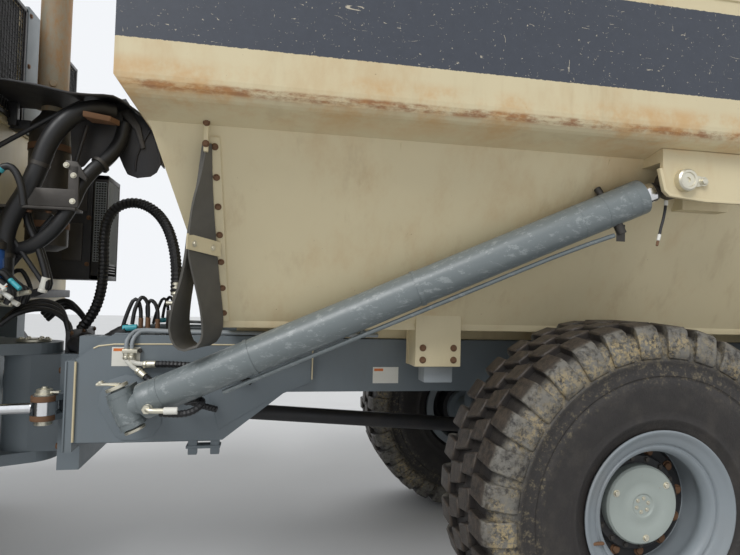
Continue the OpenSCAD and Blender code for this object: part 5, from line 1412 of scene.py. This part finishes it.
def make_cab():
    """Window guards, pillar, seals, wipers, handles, roof, lamps, mirrors and the door's fittings."""
    back = CAB_BACK
    bits = []
    for low, high in (((-0.735, 2.6), (-0.115, 3.262)), ((0.215, 2.6), (0.735, 3.262))):
        (y0, z0), (y1, z1) = low, high
        bits.append(grid_guard((back + 0.012, y0 + 0.01, z0 + 0.01), (back + 0.012, y1 - 0.01, z1 - 0.01), "y", "z",
                               sizes().mesh_pitch, 0.0026))
        bits += border(back + 0.002, back + 0.02, low, high, 0.02, 0.022, "black_paint", 0.003)
    bits += [block((back, *low), (back + 0.003, *high), "hose_rubber", 0.001)
             for low, high in (((-0.508, 2.64), (-0.182, 3.23)), ((0.306, 2.64), (0.715, 3.23)))]
    assemble(bits, "rear_guards", "tractor", "black_paint")
    pillar = [block((back, -0.112, 2.57), (back + 0.024, 0.212, 3.285), "grey_paint", 0.006),
              block((back, -0.735, 2.556), (back + 0.01, 0.735, 2.576), "cream_paint", 0.003),
              block((back, 0.66, 1.9), (back + 0.006, 0.735, 2.54), "cream_paint", 0.003)]
    pillar += [bolt((back + 0.024, y, z), BEHIND, 0.022, "rusty_steel")
               for y in (-0.085, 0.185) for z in (2.62, 2.95, 3.24)]
    assemble(pillar, "rear_pillar", "tractor", "grey_paint")

    trim = seal([screen(-0.64, 2.33), screen(0.64, 2.33), screen(0.64, 3.14), screen(-0.64, 3.14)])
    for sign in (-1, 1):
        trim += seal(opening("y", sign * 0.751, (-3.51, 2.25), (-3.2, 3.15)))
        hinge, tip = screen(sign * 0.3, 2.345, 0.012), screen(sign * 0.09, 2.86, 0.03)
        foot, head = screen(sign * 0.21, 2.56, 0.022), screen(-sign * 0.06, 3.09, 0.024)
        trim.append(rod(hinge, tip, 0.008, "black_paint", 10))
        trim.append(rod(hinge, Vector(hinge) + Vector((-0.018, 0, 0.004)), 0.022, "black_paint", 16))
        trim.append(rod(foot, head, 0.007, "hose_rubber", 8))
    trim += seal(opening("y", 0.751, (-4.4, 2.25), (-3.6, 3.15)))
    trim += [hose([(x, -CAB_SIDE, 1.78), (x, -0.796, 1.8), (x, -0.8, 2.0), (x, -0.796, 2.2),
                   (x, -CAB_SIDE, 2.22)], 0.013, "black_paint", step=0.03, sides=3) for x in (-4.545, -3.18)]
    trim.append(block((-3.9, -0.34, 3.33), (-3.3, 0.34, 3.386), "cream_paint", 0.014))
    trim += [block((-3.302, -0.3 + 0.06 * k, 3.342), (-3.296, -0.262 + 0.06 * k, 3.376), "hose_rubber", 0.001)
             for k in range(10)]
    trim += [block((-4.3, y, 3.322), (-3.12, y + 0.01, 3.345), "cream_paint", 0.003) for y in (-0.7, 0.69)]
    assemble(trim, "cab_trim", "tractor", "black_paint")
    lenses = [block((-4.2985, sign * 0.555 - 0.078, 3.337), (-4.2945, sign * 0.555 + 0.078, 3.391), "lens_clear",
                    0.002)
              for sign in (-1, 1)]
    foot = (-3.2, 0.54, 0)
    beacon = turned([(0, 3.345), (0.046, 3.345), (0.047, 3.352), (0.044, 3.388), (0.034, 3.402), (0, 3.404)], foot, UP,
                    "lens_amber", 32)
    base = turned([(0, 3.328), (0.055, 3.328), (0.055, 3.342), (0.047, 3.347), (0, 3.347)], foot, UP, "black_paint",
                  32)
    assemble([*lenses, beacon, base], "roof_lenses", "tractor", "glass")

    mirrors = []
    for sign in (-1, 1):
        near, far = sorted((sign * 0.975, sign * 1.165))
        mirrors += [block((-4.5205, near, low), (-4.5165, far, high), "chrome", 0.001)
                    for low, high in ((2.56, 2.838), (2.462, 2.545))]
        mirrors += [rod((-4.545, sign * 1.06, 2.445), (-4.545, sign * 1.06, 2.452), 0.014, "black_paint", 14),
                    rod((-4.545, sign * CAB_SIDE, 2.64), (-4.545, sign * 0.775, 2.64), 0.034, "black_paint")]
    assemble(mirrors, "mirror_glass", "tractor", "glass")

    side = DOOR_SIDE
    door = seal(opening("y", side, (-4.39, 2.16), (-3.69, 3.08)))
    door += [block((-4.44, side - 0.003, 1.83), (-3.64, side, 2.085), "cream_paint", 0.002),
             block((-4.455, side - 0.004, 1.99), (-4.325, side + 0.001, 2.06), "black_paint"),
             hose([(-4.44, side - 0.004, 2.025), (-4.432, side - 0.028, 2.025), (-4.39, side - 0.032, 2.025),
                   (-4.348, side - 0.028, 2.025), (-4.34, side - 0.004, 2.025)], 0.008, "black_paint",
                  step=0.01, sides=3),
             rod((-4.3, side, 2.025), (-4.3, side - 0.01, 2.025), 0.012, "zinc", 16),
             block((-3.7, side - 0.004, 2.16), (-3.69, side + 0.002, 3.08), "hose_rubber", 0.001),
             hose([(-4.485, side - 0.001, 1.8), (-4.485, side - 0.001, 3.14)], 0.004, "hose_rubber", step=0.5,
                  sides=1)]
    door += [bolt((-3.6, side, z + dz), LEFTWARD, 0.018) for z in (1.888, 2.975) for dz in (-0.018, 0.018)]
    assemble(door, "door_trim", "cab_door", "cream_paint")
    pane = block((-4.394, -0.781, 2.156), (-3.686, -0.776, 3.084), "cab_glass", 0.001)
    settle(pane, "door_pane", "cab_door", "glass")


def pad(low, high, crown, lean):
    """A stuffed seat pad: a rounded box that swells on all its faces, dipped along two seams."""
    low, high = at(*low), at(*high)
    clear()
    bpy.ops.mesh.primitive_cube_add(size=2)
    thing = named("pad")
    edit_all()
    bpy.ops.mesh.subdivide(number_cuts=9)
    done()
    half, centre = (high - low) / 2, (high + low) / 2
    for vertex in thing.data.vertices:
        u = vertex.co.copy()
        spot = Vector()
        for i in range(3):
            j, k = (i + 1) % 3, (i + 2) % 3
            pinch = 1 - 0.055 * (abs(u[j]) ** 4 + abs(u[k]) ** 4)
            swell = crown * (1 - u[j] ** 2) * (1 - u[k] ** 2) if abs(u[i]) > 0.99 else 0.0
            spot[i] = u[i] * (half[i] - crown) * pinch + math.copysign(swell, u[i])
        dip = 0.01 * max(0, 1 - abs(abs(u.y) - 0.6) / 0.12)
        thinnest = min(range(3), key=lambda i: half[i])
        if abs(u[thinnest]) > 0.99:
            spot[thinnest] -= math.copysign(dip, u[thinnest])
        vertex.co = centre + spot + Vector(((spot.z / half.z) * lean, 0, 0))
    take(thing)
    smooth = thing.modifiers.new("soft", "SUBSURF")
    smooth.levels = smooth.render_levels = 1
    bpy.ops.object.modifier_apply(modifier=smooth.name)
    return finish_with(thing, "seat_cloth", 80)


def make_interior():
    """Console, gauges, pedals, steering wheel, the seat's bellows and frame, the side console and the padded seat."""
    hard = [outline_plate([(-4.54, 1.662), (-4.345, 1.662), (-4.302, 1.76), (-4.302, 2.19), (-4.352, 2.328),
                           (-4.54, 2.328)], "xz", -0.498, 0.498, "interior_trim", 0.018),
            outline_plate([(-4.35, 2.322), (-4.312, 2.214), (-4.304, 2.214), (-4.33, 2.322)], "xz", -0.23, 0.23,
                          "hose_rubber")]
    for y in (-0.15, 0.0, 0.15):
        for dial, finish in ((band(0.03, 0.038, 0.0, 0.006), "chrome"), (band(0, 0.031, 0.0, 0.002), "label_white")):
            hard.append(turned(dial, (-4.322, y, 2.266), (0.94, 0, 0.34), finish, 24))
    for k in range(12):
        y = 0.27 + 0.036 * (k % 6)
        z = 2.12 if k < 6 else 2.06
        hard.append(block((-4.304, y, z), (-4.296, y + 0.024, z + 0.04), "hose_rubber", 0.002))
    for y in (-0.42, 0.42):
        hard += [block((-4.306, y - 0.055, 1.99 + 0.014 * k), (-4.296, y + 0.055, 1.996 + 0.014 * k), "hose_rubber",
                       0.001)
                 for k in range(4)]
    for y in (-0.115, 0.115):
        hard.append(outline_plate([(-4.298, 1.672), (-4.165, 1.672), (-4.235, 1.742), (-4.298, 1.755)], "xz",
                                  y - 0.045, y + 0.045, "dark_steel", 0.004))
    mast = Vector((0.883, 0, 0.469))
    foot = Vector((-4.3, 0, 2.24))
    hub = foot + mast * 0.16
    ring = [(0.19 + 0.015 * math.cos(a), 0.015 * math.sin(a)) for a in (2 * math.pi * k / 10 for k in range(10))]
    hard += [rod(foot - mast * 0.05, hub, 0.028, "interior_trim"),
             turned(ring, hub, mast, "interior_trim", 48, 60),
             turned([(0, -0.018), (0.05, -0.018), (0.056, 0.0), (0.046, 0.014), (0, 0.016)], hub, mast,
                    "interior_trim", 28)]
    _, side, up = frame_of(mast)
    for k in range(3):
        a = math.radians(90 + 120 * k)
        spoke = side * math.cos(a) + up * math.sin(a)
        hard.append(rod(hub + spoke * 0.04, hub + spoke * 0.184, 0.011, "interior_trim", 12))
    hard += [rod(foot + mast * 0.07, foot + mast * 0.07 + Vector((0.02, -0.15, 0.045)), 0.007, "hose_rubber", 10),
             block((-3.945, -0.2, 1.662), (-3.545, 0.2, 1.7), "dark_steel", 0.006),
             block((-3.9, -0.15, 1.88), (-3.57, 0.15, 1.915), "dark_steel", 0.006)]
    hard += [turned([(0, z), (0.12, z), (0.138, z + 0.011), (0.138, z + 0.019), (0.12, z + 0.03), (0, z + 0.03)],
                    (-3.74, 0, 0), UP, "hose_rubber", 28) for z in (1.7, 1.73, 1.76, 1.79, 1.82, 1.85)]
    hard += [outline_plate([(-3.53, 1.9), (-3.5, 1.9), (-3.405, 2.77), (-3.44, 2.78)], "xz", -0.2, 0.2,
                           "interior_trim", 0.012),
             block((-3.86, 0.275, 1.662), (-3.5, 0.44, 2.12), "interior_trim", 0.02),
             rod((-3.78, 0.35, 2.11), (-3.8, 0.35, 2.235), 0.01, "dark_steel", 12),
             turned([(0, 0), (0.016, 0), (0.024, 0.02), (0.024, 0.045), (0.014, 0.062), (0, 0.064)],
                    (-3.798, 0.35, 2.222), (-0.16, 0, 1), "interior_trim", 20),
             block((-4.28, -0.68, 1.661), (-3.12, 0.68, 1.667), "hose_rubber", 0.001)]
    for y in (-0.17, 0.17):
        hard.append(hose([(-3.5, y, 1.96), (-3.47, y * 1.32, 1.99), (-3.6, y * 1.42, 2.03),
                          (-3.62, y * 1.46, 2.1)], 0.01, "interior_trim", step=0.03, sides=3))
    assemble(hard, "cab_fittings", "tractor", "interior", "cab_interior")
    for name, low, high, crown, lean, fill in (
            ("seat_cushion", (-3.968, -0.238, 1.91), (-3.53, 0.238, 2.078), 0.016, 0.0, 0.75),
            ("seat_back", (-3.612, -0.228, 2.04), (-3.478, 0.228, 2.64), 0.014, 0.04, 0.75),
            ("head_rest", (-3.52, -0.13, 2.65), (-3.43, 0.13, 2.796), 0.012, 0.01, 0.8)):
        settle(pad(low, high, crown, lean), name, "tractor", "interior")


# Front end

BONNET_SIDE, RAIL_Y = -0.64, -1.165


def bonnet_pieces():
    """Louvres, latches and seams on one side of the bonnet."""
    wall = BONNET_SIDE
    bits = [block((-5.86 + 0.052 * k, wall - 0.01, 1.48), (-5.836 + 0.052 * k, wall + 0.002, 1.86), "bonnet_grey",
                  0.003)
            for k in range(13)]
    bits += [*(block((-5.9, wall - 0.005, z), (-5.175, wall + 0.001, z + 0.015), "bonnet_grey", 0.002)
               for z in (1.455, 1.87)),
             block((-6.33, wall - 0.004, 1.195), (-4.72, wall + 0.001, 1.225), "bonnet_grey", 0.002)]
    for x in (-6.05, -4.86):
        bits += [block((x - 0.03, wall - 0.008, 1.27), (x + 0.03, wall + 0.001, 1.35), "dark_steel", 0.003),
                 hose([(x - 0.018, wall - 0.006, 1.335), (x - 0.016, wall - 0.022, 1.33), (x, wall - 0.024, 1.29),
                       (x + 0.016, wall - 0.022, 1.33), (x + 0.018, wall - 0.006, 1.335)], 0.004, "zinc", step=0.01)]
    return [piece(bits, "bonnet_side", "bonnet", "black_paint")]


def front_pieces():
    """Lamp lenses, rails, deck bars, tank cap and fender lips on the tractor's left."""
    y = -0.96
    lamp = (-6.3985, y, 0.95)
    lens = [turned([(0, 0.02), (0.072, 0.02), (0.074, 0.026), (0.05, 0.034), (0, 0.038)], lamp, AHEAD,
                   "lens_clear"),
            turned([(0.07, 0.018), (0.084, 0.018), (0.084, 0.03), (0.076, 0.034), (0.07, 0.028)], lamp, AHEAD,
                   "chrome"),
            block((-6.4065, -1.16, 0.915), (-6.398, -1.09, 0.985), "lens_amber", 0.003)]
    bits = [block((-6.404, y - 0.12, z), (-6.398, y + 0.12, z + 0.012), "black_paint", 0.002)
            for z in (0.83, 1.06)]
    bits += [bolt((-6.4, yy, z), AHEAD, 0.034) for yy in (-0.6, -0.3, -1.2) for z in (0.78, 1.06)]
    rail = at_y(RAIL_Y, (-6.3, 1.13), (-6.3, 1.3), (-6.3, 1.56), (-6.3, 1.8), (-6.285, 1.935),
                (-6.2, 1.985), (-6.0, 1.99), (-5.7, 1.99), (-5.47, 1.985), (-5.385, 1.935), (-5.37, 1.8),
                (-5.37, 1.56), (-5.37, 1.3), (-5.37, 1.13))
    bits += [hose(rail, 0.017, "cream_paint", step=0.06, sides=3),
             rod((-6.3, RAIL_Y, 1.56), (-5.37, RAIL_Y, 1.56), 0.013, "cream_paint", 14),
             rod((-5.835, RAIL_Y, 1.13), (-5.835, RAIL_Y, 1.99), 0.013, "cream_paint", 14)]
    bits += [turned(band(0, 0.038, 0, 0.008), (x, RAIL_Y, 1.13), UP, "cream_paint", 20)
             for x in (-6.3, -5.835, -5.37)]
    bits += [block((-6.22 + 0.08 * k, -1.13, 1.13), (-6.196 + 0.08 * k, -0.7, 1.136), "dark_steel", 0.002)
             for k in range(12)]
    for z in (0.49, 0.77):
        bits += [block((-5.63 + 0.06 * k, -1.236, z), (-5.612 + 0.06 * k, -1.09, z + 0.005), "dark_steel", 0.001)
                 for k in range(6)]
    cap = (-5.74, -1.05, 0.93)
    bits += [turned([(0, 0), (0.056, 0), (0.056, 0.014), (0.05, 0.018), (0.05, 0.03), (0.044, 0.036), (0, 0.036)], cap,
                    LEFTWARD, "black_paint", 32),
             rod((-5.74, -1.088, 0.95), (-5.74, -1.088, 0.91), 0.007, "zinc", 10)]
    for x in (-5.72, -5.3):
        bits.append(block((x - 0.02, -1.0545, 0.64), (x + 0.02, -1.0495, 0.86), "dark_steel", 0.001))
    angles = [math.radians(a) for a in range(26, 156, 6)]
    arc = [(FRONT_AXLE + 0.914 * math.cos(a), -1.424, AXLE_Z + 0.914 * math.sin(a)) for a in angles]
    bits.append(hose(arc, 0.015, "hose_rubber", step=0.1))
    flap = outline_plate([(-1.4, 1.165), (-0.8, 1.165), (-0.8, 0.62), (-0.83, 0.6), (-1.37, 0.6),
                          (-1.4, 0.62)], "yz", -3.462, -3.454, "flap_rubber", 0.002)
    bits += [flap, block((-3.47, -1.4, 1.13), (-3.462, -0.8, 1.168), "dark_steel", 0.001)]
    bits += [bolt((-3.454, yy, 1.148), BEHIND, 0.022) for yy in (-1.34, -1.1, -0.86)]
    return [piece(lens, "front_lens", "tractor", "glass"), piece(bits, "front_trim", "tractor", "black_paint")]


def make_front():
    settle_pair(both(front_pieces))
    settle_pair(both(bonnet_pieces))
    face = -6.37
    bits = [grid_guard((-6.322, -0.455, 1.29), (-6.322, 0.455, 1.89), "y", "z", 0.03, 0.0018)]
    bits += border(face - 0.01, face + 0.002, (-0.49, 1.255), (0.49, 1.925), 0.03, 0.025, "black_paint", 0.004)
    bits += [bolt((face - 0.01, y, z), AHEAD, 0.02) for y in (-0.475, 0.475) for z in (1.3, 1.6, 1.88)]
    assemble(bits, "grille_frame", "bonnet", "black_paint")
    pin = turned([(0, -0.045), (0.022, -0.045), (0.022, 0.062), (0.03, 0.064), (0.03, 0.072), (0, 0.072)],
                 (-6.45, 0, 0.83), UP, "zinc", 24)
    settle(pin, "front_pin", "tractor", "grey_paint")


# Axles, cylinders and the tail


def tail_pieces():
    """Mud flap behind the last wheel, its arm, and the tail lamp's lens."""
    arm = [rod((2.29, -0.44, 1.23), (2.56, -0.88, 1.15), 0.024, "grey_paint", 18),
           block((2.545, -1.405, 1.12), (2.583, -0.87, 1.16), "grey_paint"),
           block((2.583, -1.4, 1.07), (2.588, -0.875, 1.16), "dark_steel", 0.001)]
    arm += [bolt((2.594, y, 1.115), BEHIND, 0.022) for y in (-1.34, -1.14, -0.94)]
    flap = outline_plate([(-1.4, 1.15), (-0.875, 1.15), (-0.875, 0.52), (-0.9, 0.5), (-1.375, 0.5),
                          (-1.4, 0.52)], "yz", 2.586, 2.594, "flap_rubber", 0.002)
    lens = [block((2.345, near, 1.31), (2.35, far, 1.39), finish, 0.002) for near, far, finish in (
        (-0.382, -0.33, "lens_red"), (-0.32, -0.29, "lens_amber"), (-0.284, -0.258, "lens_clear"))]
    return [piece([*arm, flap], "tail_trim", "rear", "rubber"), piece(lens, "tail_lens", "rear", "glass")]


def steer_pieces():
    """Collars and hose ports on one steering cylinder."""
    base, eye = Vector((-4.13, -0.64, 1.09)), Vector((-2.745, -0.4, 1.09))
    along = (eye - base).normalized()
    bits = [turned([(0.046, h), (0.0515, h + 0.001), (0.0515, h + w - 0.001), (0.046, h + w)], base, along,
                   "grey_paint", 32) for h, w in ((0.12, 0.02), (0.56, 0.02))]
    for h in (0.15, 0.545):
        spot = base + along * h
        top = spot + Vector((0, 0, 0.066))
        bits += [rod(spot + Vector((0, 0, 0.044)), top, 0.013, "dark_steel", 16),
                 bolt(top, UP, 0.026, "zinc", 0.012, False)]
    return [piece(bits, "steer_trim", "steer_barrel_{}", "grey_paint")]


def axle_trim(x, body):
    """Cover bolts, drain plug and breather on one axle."""
    bits = []
    for sign in (-1, 1):
        for i in range(12):
            a = math.radians(30 * i + 15)
            bits.append(bolt((x + sign * 0.19, 0.205 * math.cos(a), AXLE_Z + 0.205 * math.sin(a)), (sign, 0, 0), 0.028,
                             "rusty_steel"))
    bits += [turned(band(0, 0.022, 0.0, 0.01), (x, 0, AXLE_Z - 0.235), DOWN, "zinc", 20),
             rod((x, -0.3, AXLE_Z + 0.1), (x, -0.3, AXLE_Z + 0.14), 0.009, "zinc", 12)]
    for side in (-1, 1):
        bits += [turned([(0.1, h), (0.112, h + 0.002), (0.112, h + 0.016), (0.1, h + 0.018)], (x, 0, AXLE_Z),
                        (0, side, 0), "grey_paint", 36) for h in (0.262, 0.5)]
    assemble(bits, f"axle_trim_{body}_{round(x * 10)}".replace("-", "f"), body, "grey_paint")


def make_chassis():
    settle_pair(both(tail_pieces))
    settle_pair(both(steer_pieces))
    axle_trim(FRONT_AXLE, "tractor")
    axle_trim(0, "rear")
    axle_trim(BOGIE_GAP, "rear")
    bits = []
    for sign in (-1, 1):
        x, face, z = BOGIE_GAP / 2, sign * 0.702, 1.01
        bits.append(turned([(0, 0), (0.056, 0), (0.058, 0.004), (0.054, 0.014), (0, 0.016)],
                           (x, face - sign * 0.002, z), (0, sign, 0), "zinc", 32))
        bits += [bolt((x + 0.034 * math.cos(a), face + sign * 0.013, z + 0.034 * math.sin(a)), (0, sign, 0), 0.018,
                      "zinc", None, False) for a in (0.5, 2.6, 4.7)]
    assemble(bits, "beam_caps", "rear", "grey_paint")


# The add-on: one operator for each group of pieces, and a panel that lists them


class TRUCK_OT_stage(bpy.types.Operator):
    """Sets up the floor, the light and the photograph's camera"""

    bl_idname = "truck.stage"
    bl_label = "Stage"

    def execute(self, context):
        make_camera()
        make_stage()
        return {"FINISHED"}


class TRUCK_OT_finishes(bpy.types.Operator):
    """Makes the finishes and gives them to the frame's nodes"""

    bl_idname = "truck.finishes"
    bl_label = "Finishes"

    def execute(self, context):
        make_finishes()
        dress_nodes()
        return {"FINISHED"}


class TRUCK_OT_lines(bpy.types.Operator):
    """Makes the frame's trim, hard lines, guarded hoses and the conduit"""

    bl_idname = "truck.lines"
    bl_label = "Hydraulic lines"

    def execute(self, context):
        make_lines()
        return {"FINISHED"}


class TRUCK_OT_hoists(bpy.types.Operator):
    """Makes the hoist cylinders' fittings, rods and grease hoses"""

    bl_idname = "truck.hoists"
    bl_label = "Hoist cylinders"

    def execute(self, context):
        make_hoists()
        return {"FINISHED"}


class TRUCK_OT_hitch(bpy.types.Operator):
    """Makes the pin heads and caps of the pivot"""

    bl_idname = "truck.hitch"
    bl_label = "Hitch"

    def execute(self, context):
        make_hitch()
        return {"FINISHED"}


class TRUCK_OT_body(bpy.types.Operator):
    """Makes the body's rails, buffers, seams and spill flaps"""

    bl_idname = "truck.body"
    bl_label = "Dump body"

    def execute(self, context):
        make_body()
        return {"FINISHED"}


class TRUCK_OT_exhaust(bpy.types.Operator):
    """Makes the exhaust stack and the hood behind the cab"""

    bl_idname = "truck.exhaust"
    bl_label = "Exhaust"

    def execute(self, context):
        make_exhaust()
        make_shield()
        return {"FINISHED"}


class TRUCK_OT_cooler(bpy.types.Operator):
    """Makes the oil cooler, the air pipe and their brackets"""

    bl_idname = "truck.cooler"
    bl_label = "Cooler and air pipe"

    def execute(self, context):
        make_cooler()
        make_pipes()
        make_brackets()
        return {"FINISHED"}


class TRUCK_OT_rear_hoses(bpy.types.Operator):
    """Makes the hoses and cables at the tractor's rear"""

    bl_idname = "truck.rear_hoses"
    bl_label = "Tractor hoses"

    def execute(self, context):
        make_rear_hoses()
        return {"FINISHED"}


class TRUCK_OT_cab(bpy.types.Operator):
    """Makes the cab's guards, seals, handles, wipers and mirrors"""

    bl_idname = "truck.cab"
    bl_label = "Cab trim"

    def execute(self, context):
        make_cab()
        return {"FINISHED"}


class TRUCK_OT_interior(bpy.types.Operator):
    """Makes the padded seat, the console and the controls"""

    bl_idname = "truck.interior"
    bl_label = "Cab interior"

    def execute(self, context):
        make_interior()
        return {"FINISHED"}


class TRUCK_OT_front(bpy.types.Operator):
    """Makes the lamps, grille frame, steps, rails and caps"""

    bl_idname = "truck.front"
    bl_label = "Front end"

    def execute(self, context):
        make_front()
        return {"FINISHED"}


class TRUCK_OT_chassis(bpy.types.Operator):
    """Makes the axle bolts, gland nuts and mud flaps"""

    bl_idname = "truck.chassis"
    bl_label = "Axles and cylinders"

    def execute(self, context):
        make_chassis()
        return {"FINISHED"}


class TRUCK_OT_tyres(bpy.types.Operator):
    """Makes the six tyres with their lugs"""

    bl_idname = "truck.tyres"
    bl_label = "Tyres"

    def execute(self, context):
        make_tyres()
        return {"FINISHED"}


class TRUCK_OT_rims(bpy.types.Operator):
    """Makes the six rims with hubs and bolts"""

    bl_idname = "truck.rims"
    bl_label = "Rims"

    def execute(self, context):
        make_rims()
        return {"FINISHED"}


OPERATORS = (TRUCK_OT_stage, TRUCK_OT_finishes, TRUCK_OT_lines, TRUCK_OT_hoists, TRUCK_OT_hitch, TRUCK_OT_body,
             TRUCK_OT_exhaust, TRUCK_OT_cooler, TRUCK_OT_rear_hoses, TRUCK_OT_cab, TRUCK_OT_interior, TRUCK_OT_front,
             TRUCK_OT_chassis, TRUCK_OT_tyres, TRUCK_OT_rims)


class TRUCK_PT_panel(bpy.types.Panel):
    bl_label = "Dump Truck"
    bl_idname = "TRUCK_PT_panel"
    bl_space_type = "VIEW_3D"
    bl_region_type = "UI"
    bl_category = "Dump Truck"

    def draw(self, context):
        for operator in OPERATORS:
            self.layout.operator(operator.bl_idname)


CLASSES = (Measures, Colours, *OPERATORS, TRUCK_PT_panel)


def register():
    for cls in CLASSES:
        bpy.utils.register_class(cls)
    bpy.types.Scene.truck_measures = bpy.props.PointerProperty(type=Measures)
    bpy.types.Scene.truck_colours = bpy.props.PointerProperty(type=Colours)


def unregister():
    del bpy.types.Scene.truck_colours
    del bpy.types.Scene.truck_measures
    for cls in reversed(CLASSES):
        bpy.utils.unregister_class(cls)


def main():
    register()
    for operator in OPERATORS:
        group, call = operator.bl_idname.split(".")
        getattr(getattr(bpy.ops, group), call)()
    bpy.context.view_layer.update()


if __name__ == "__main__":
    main()
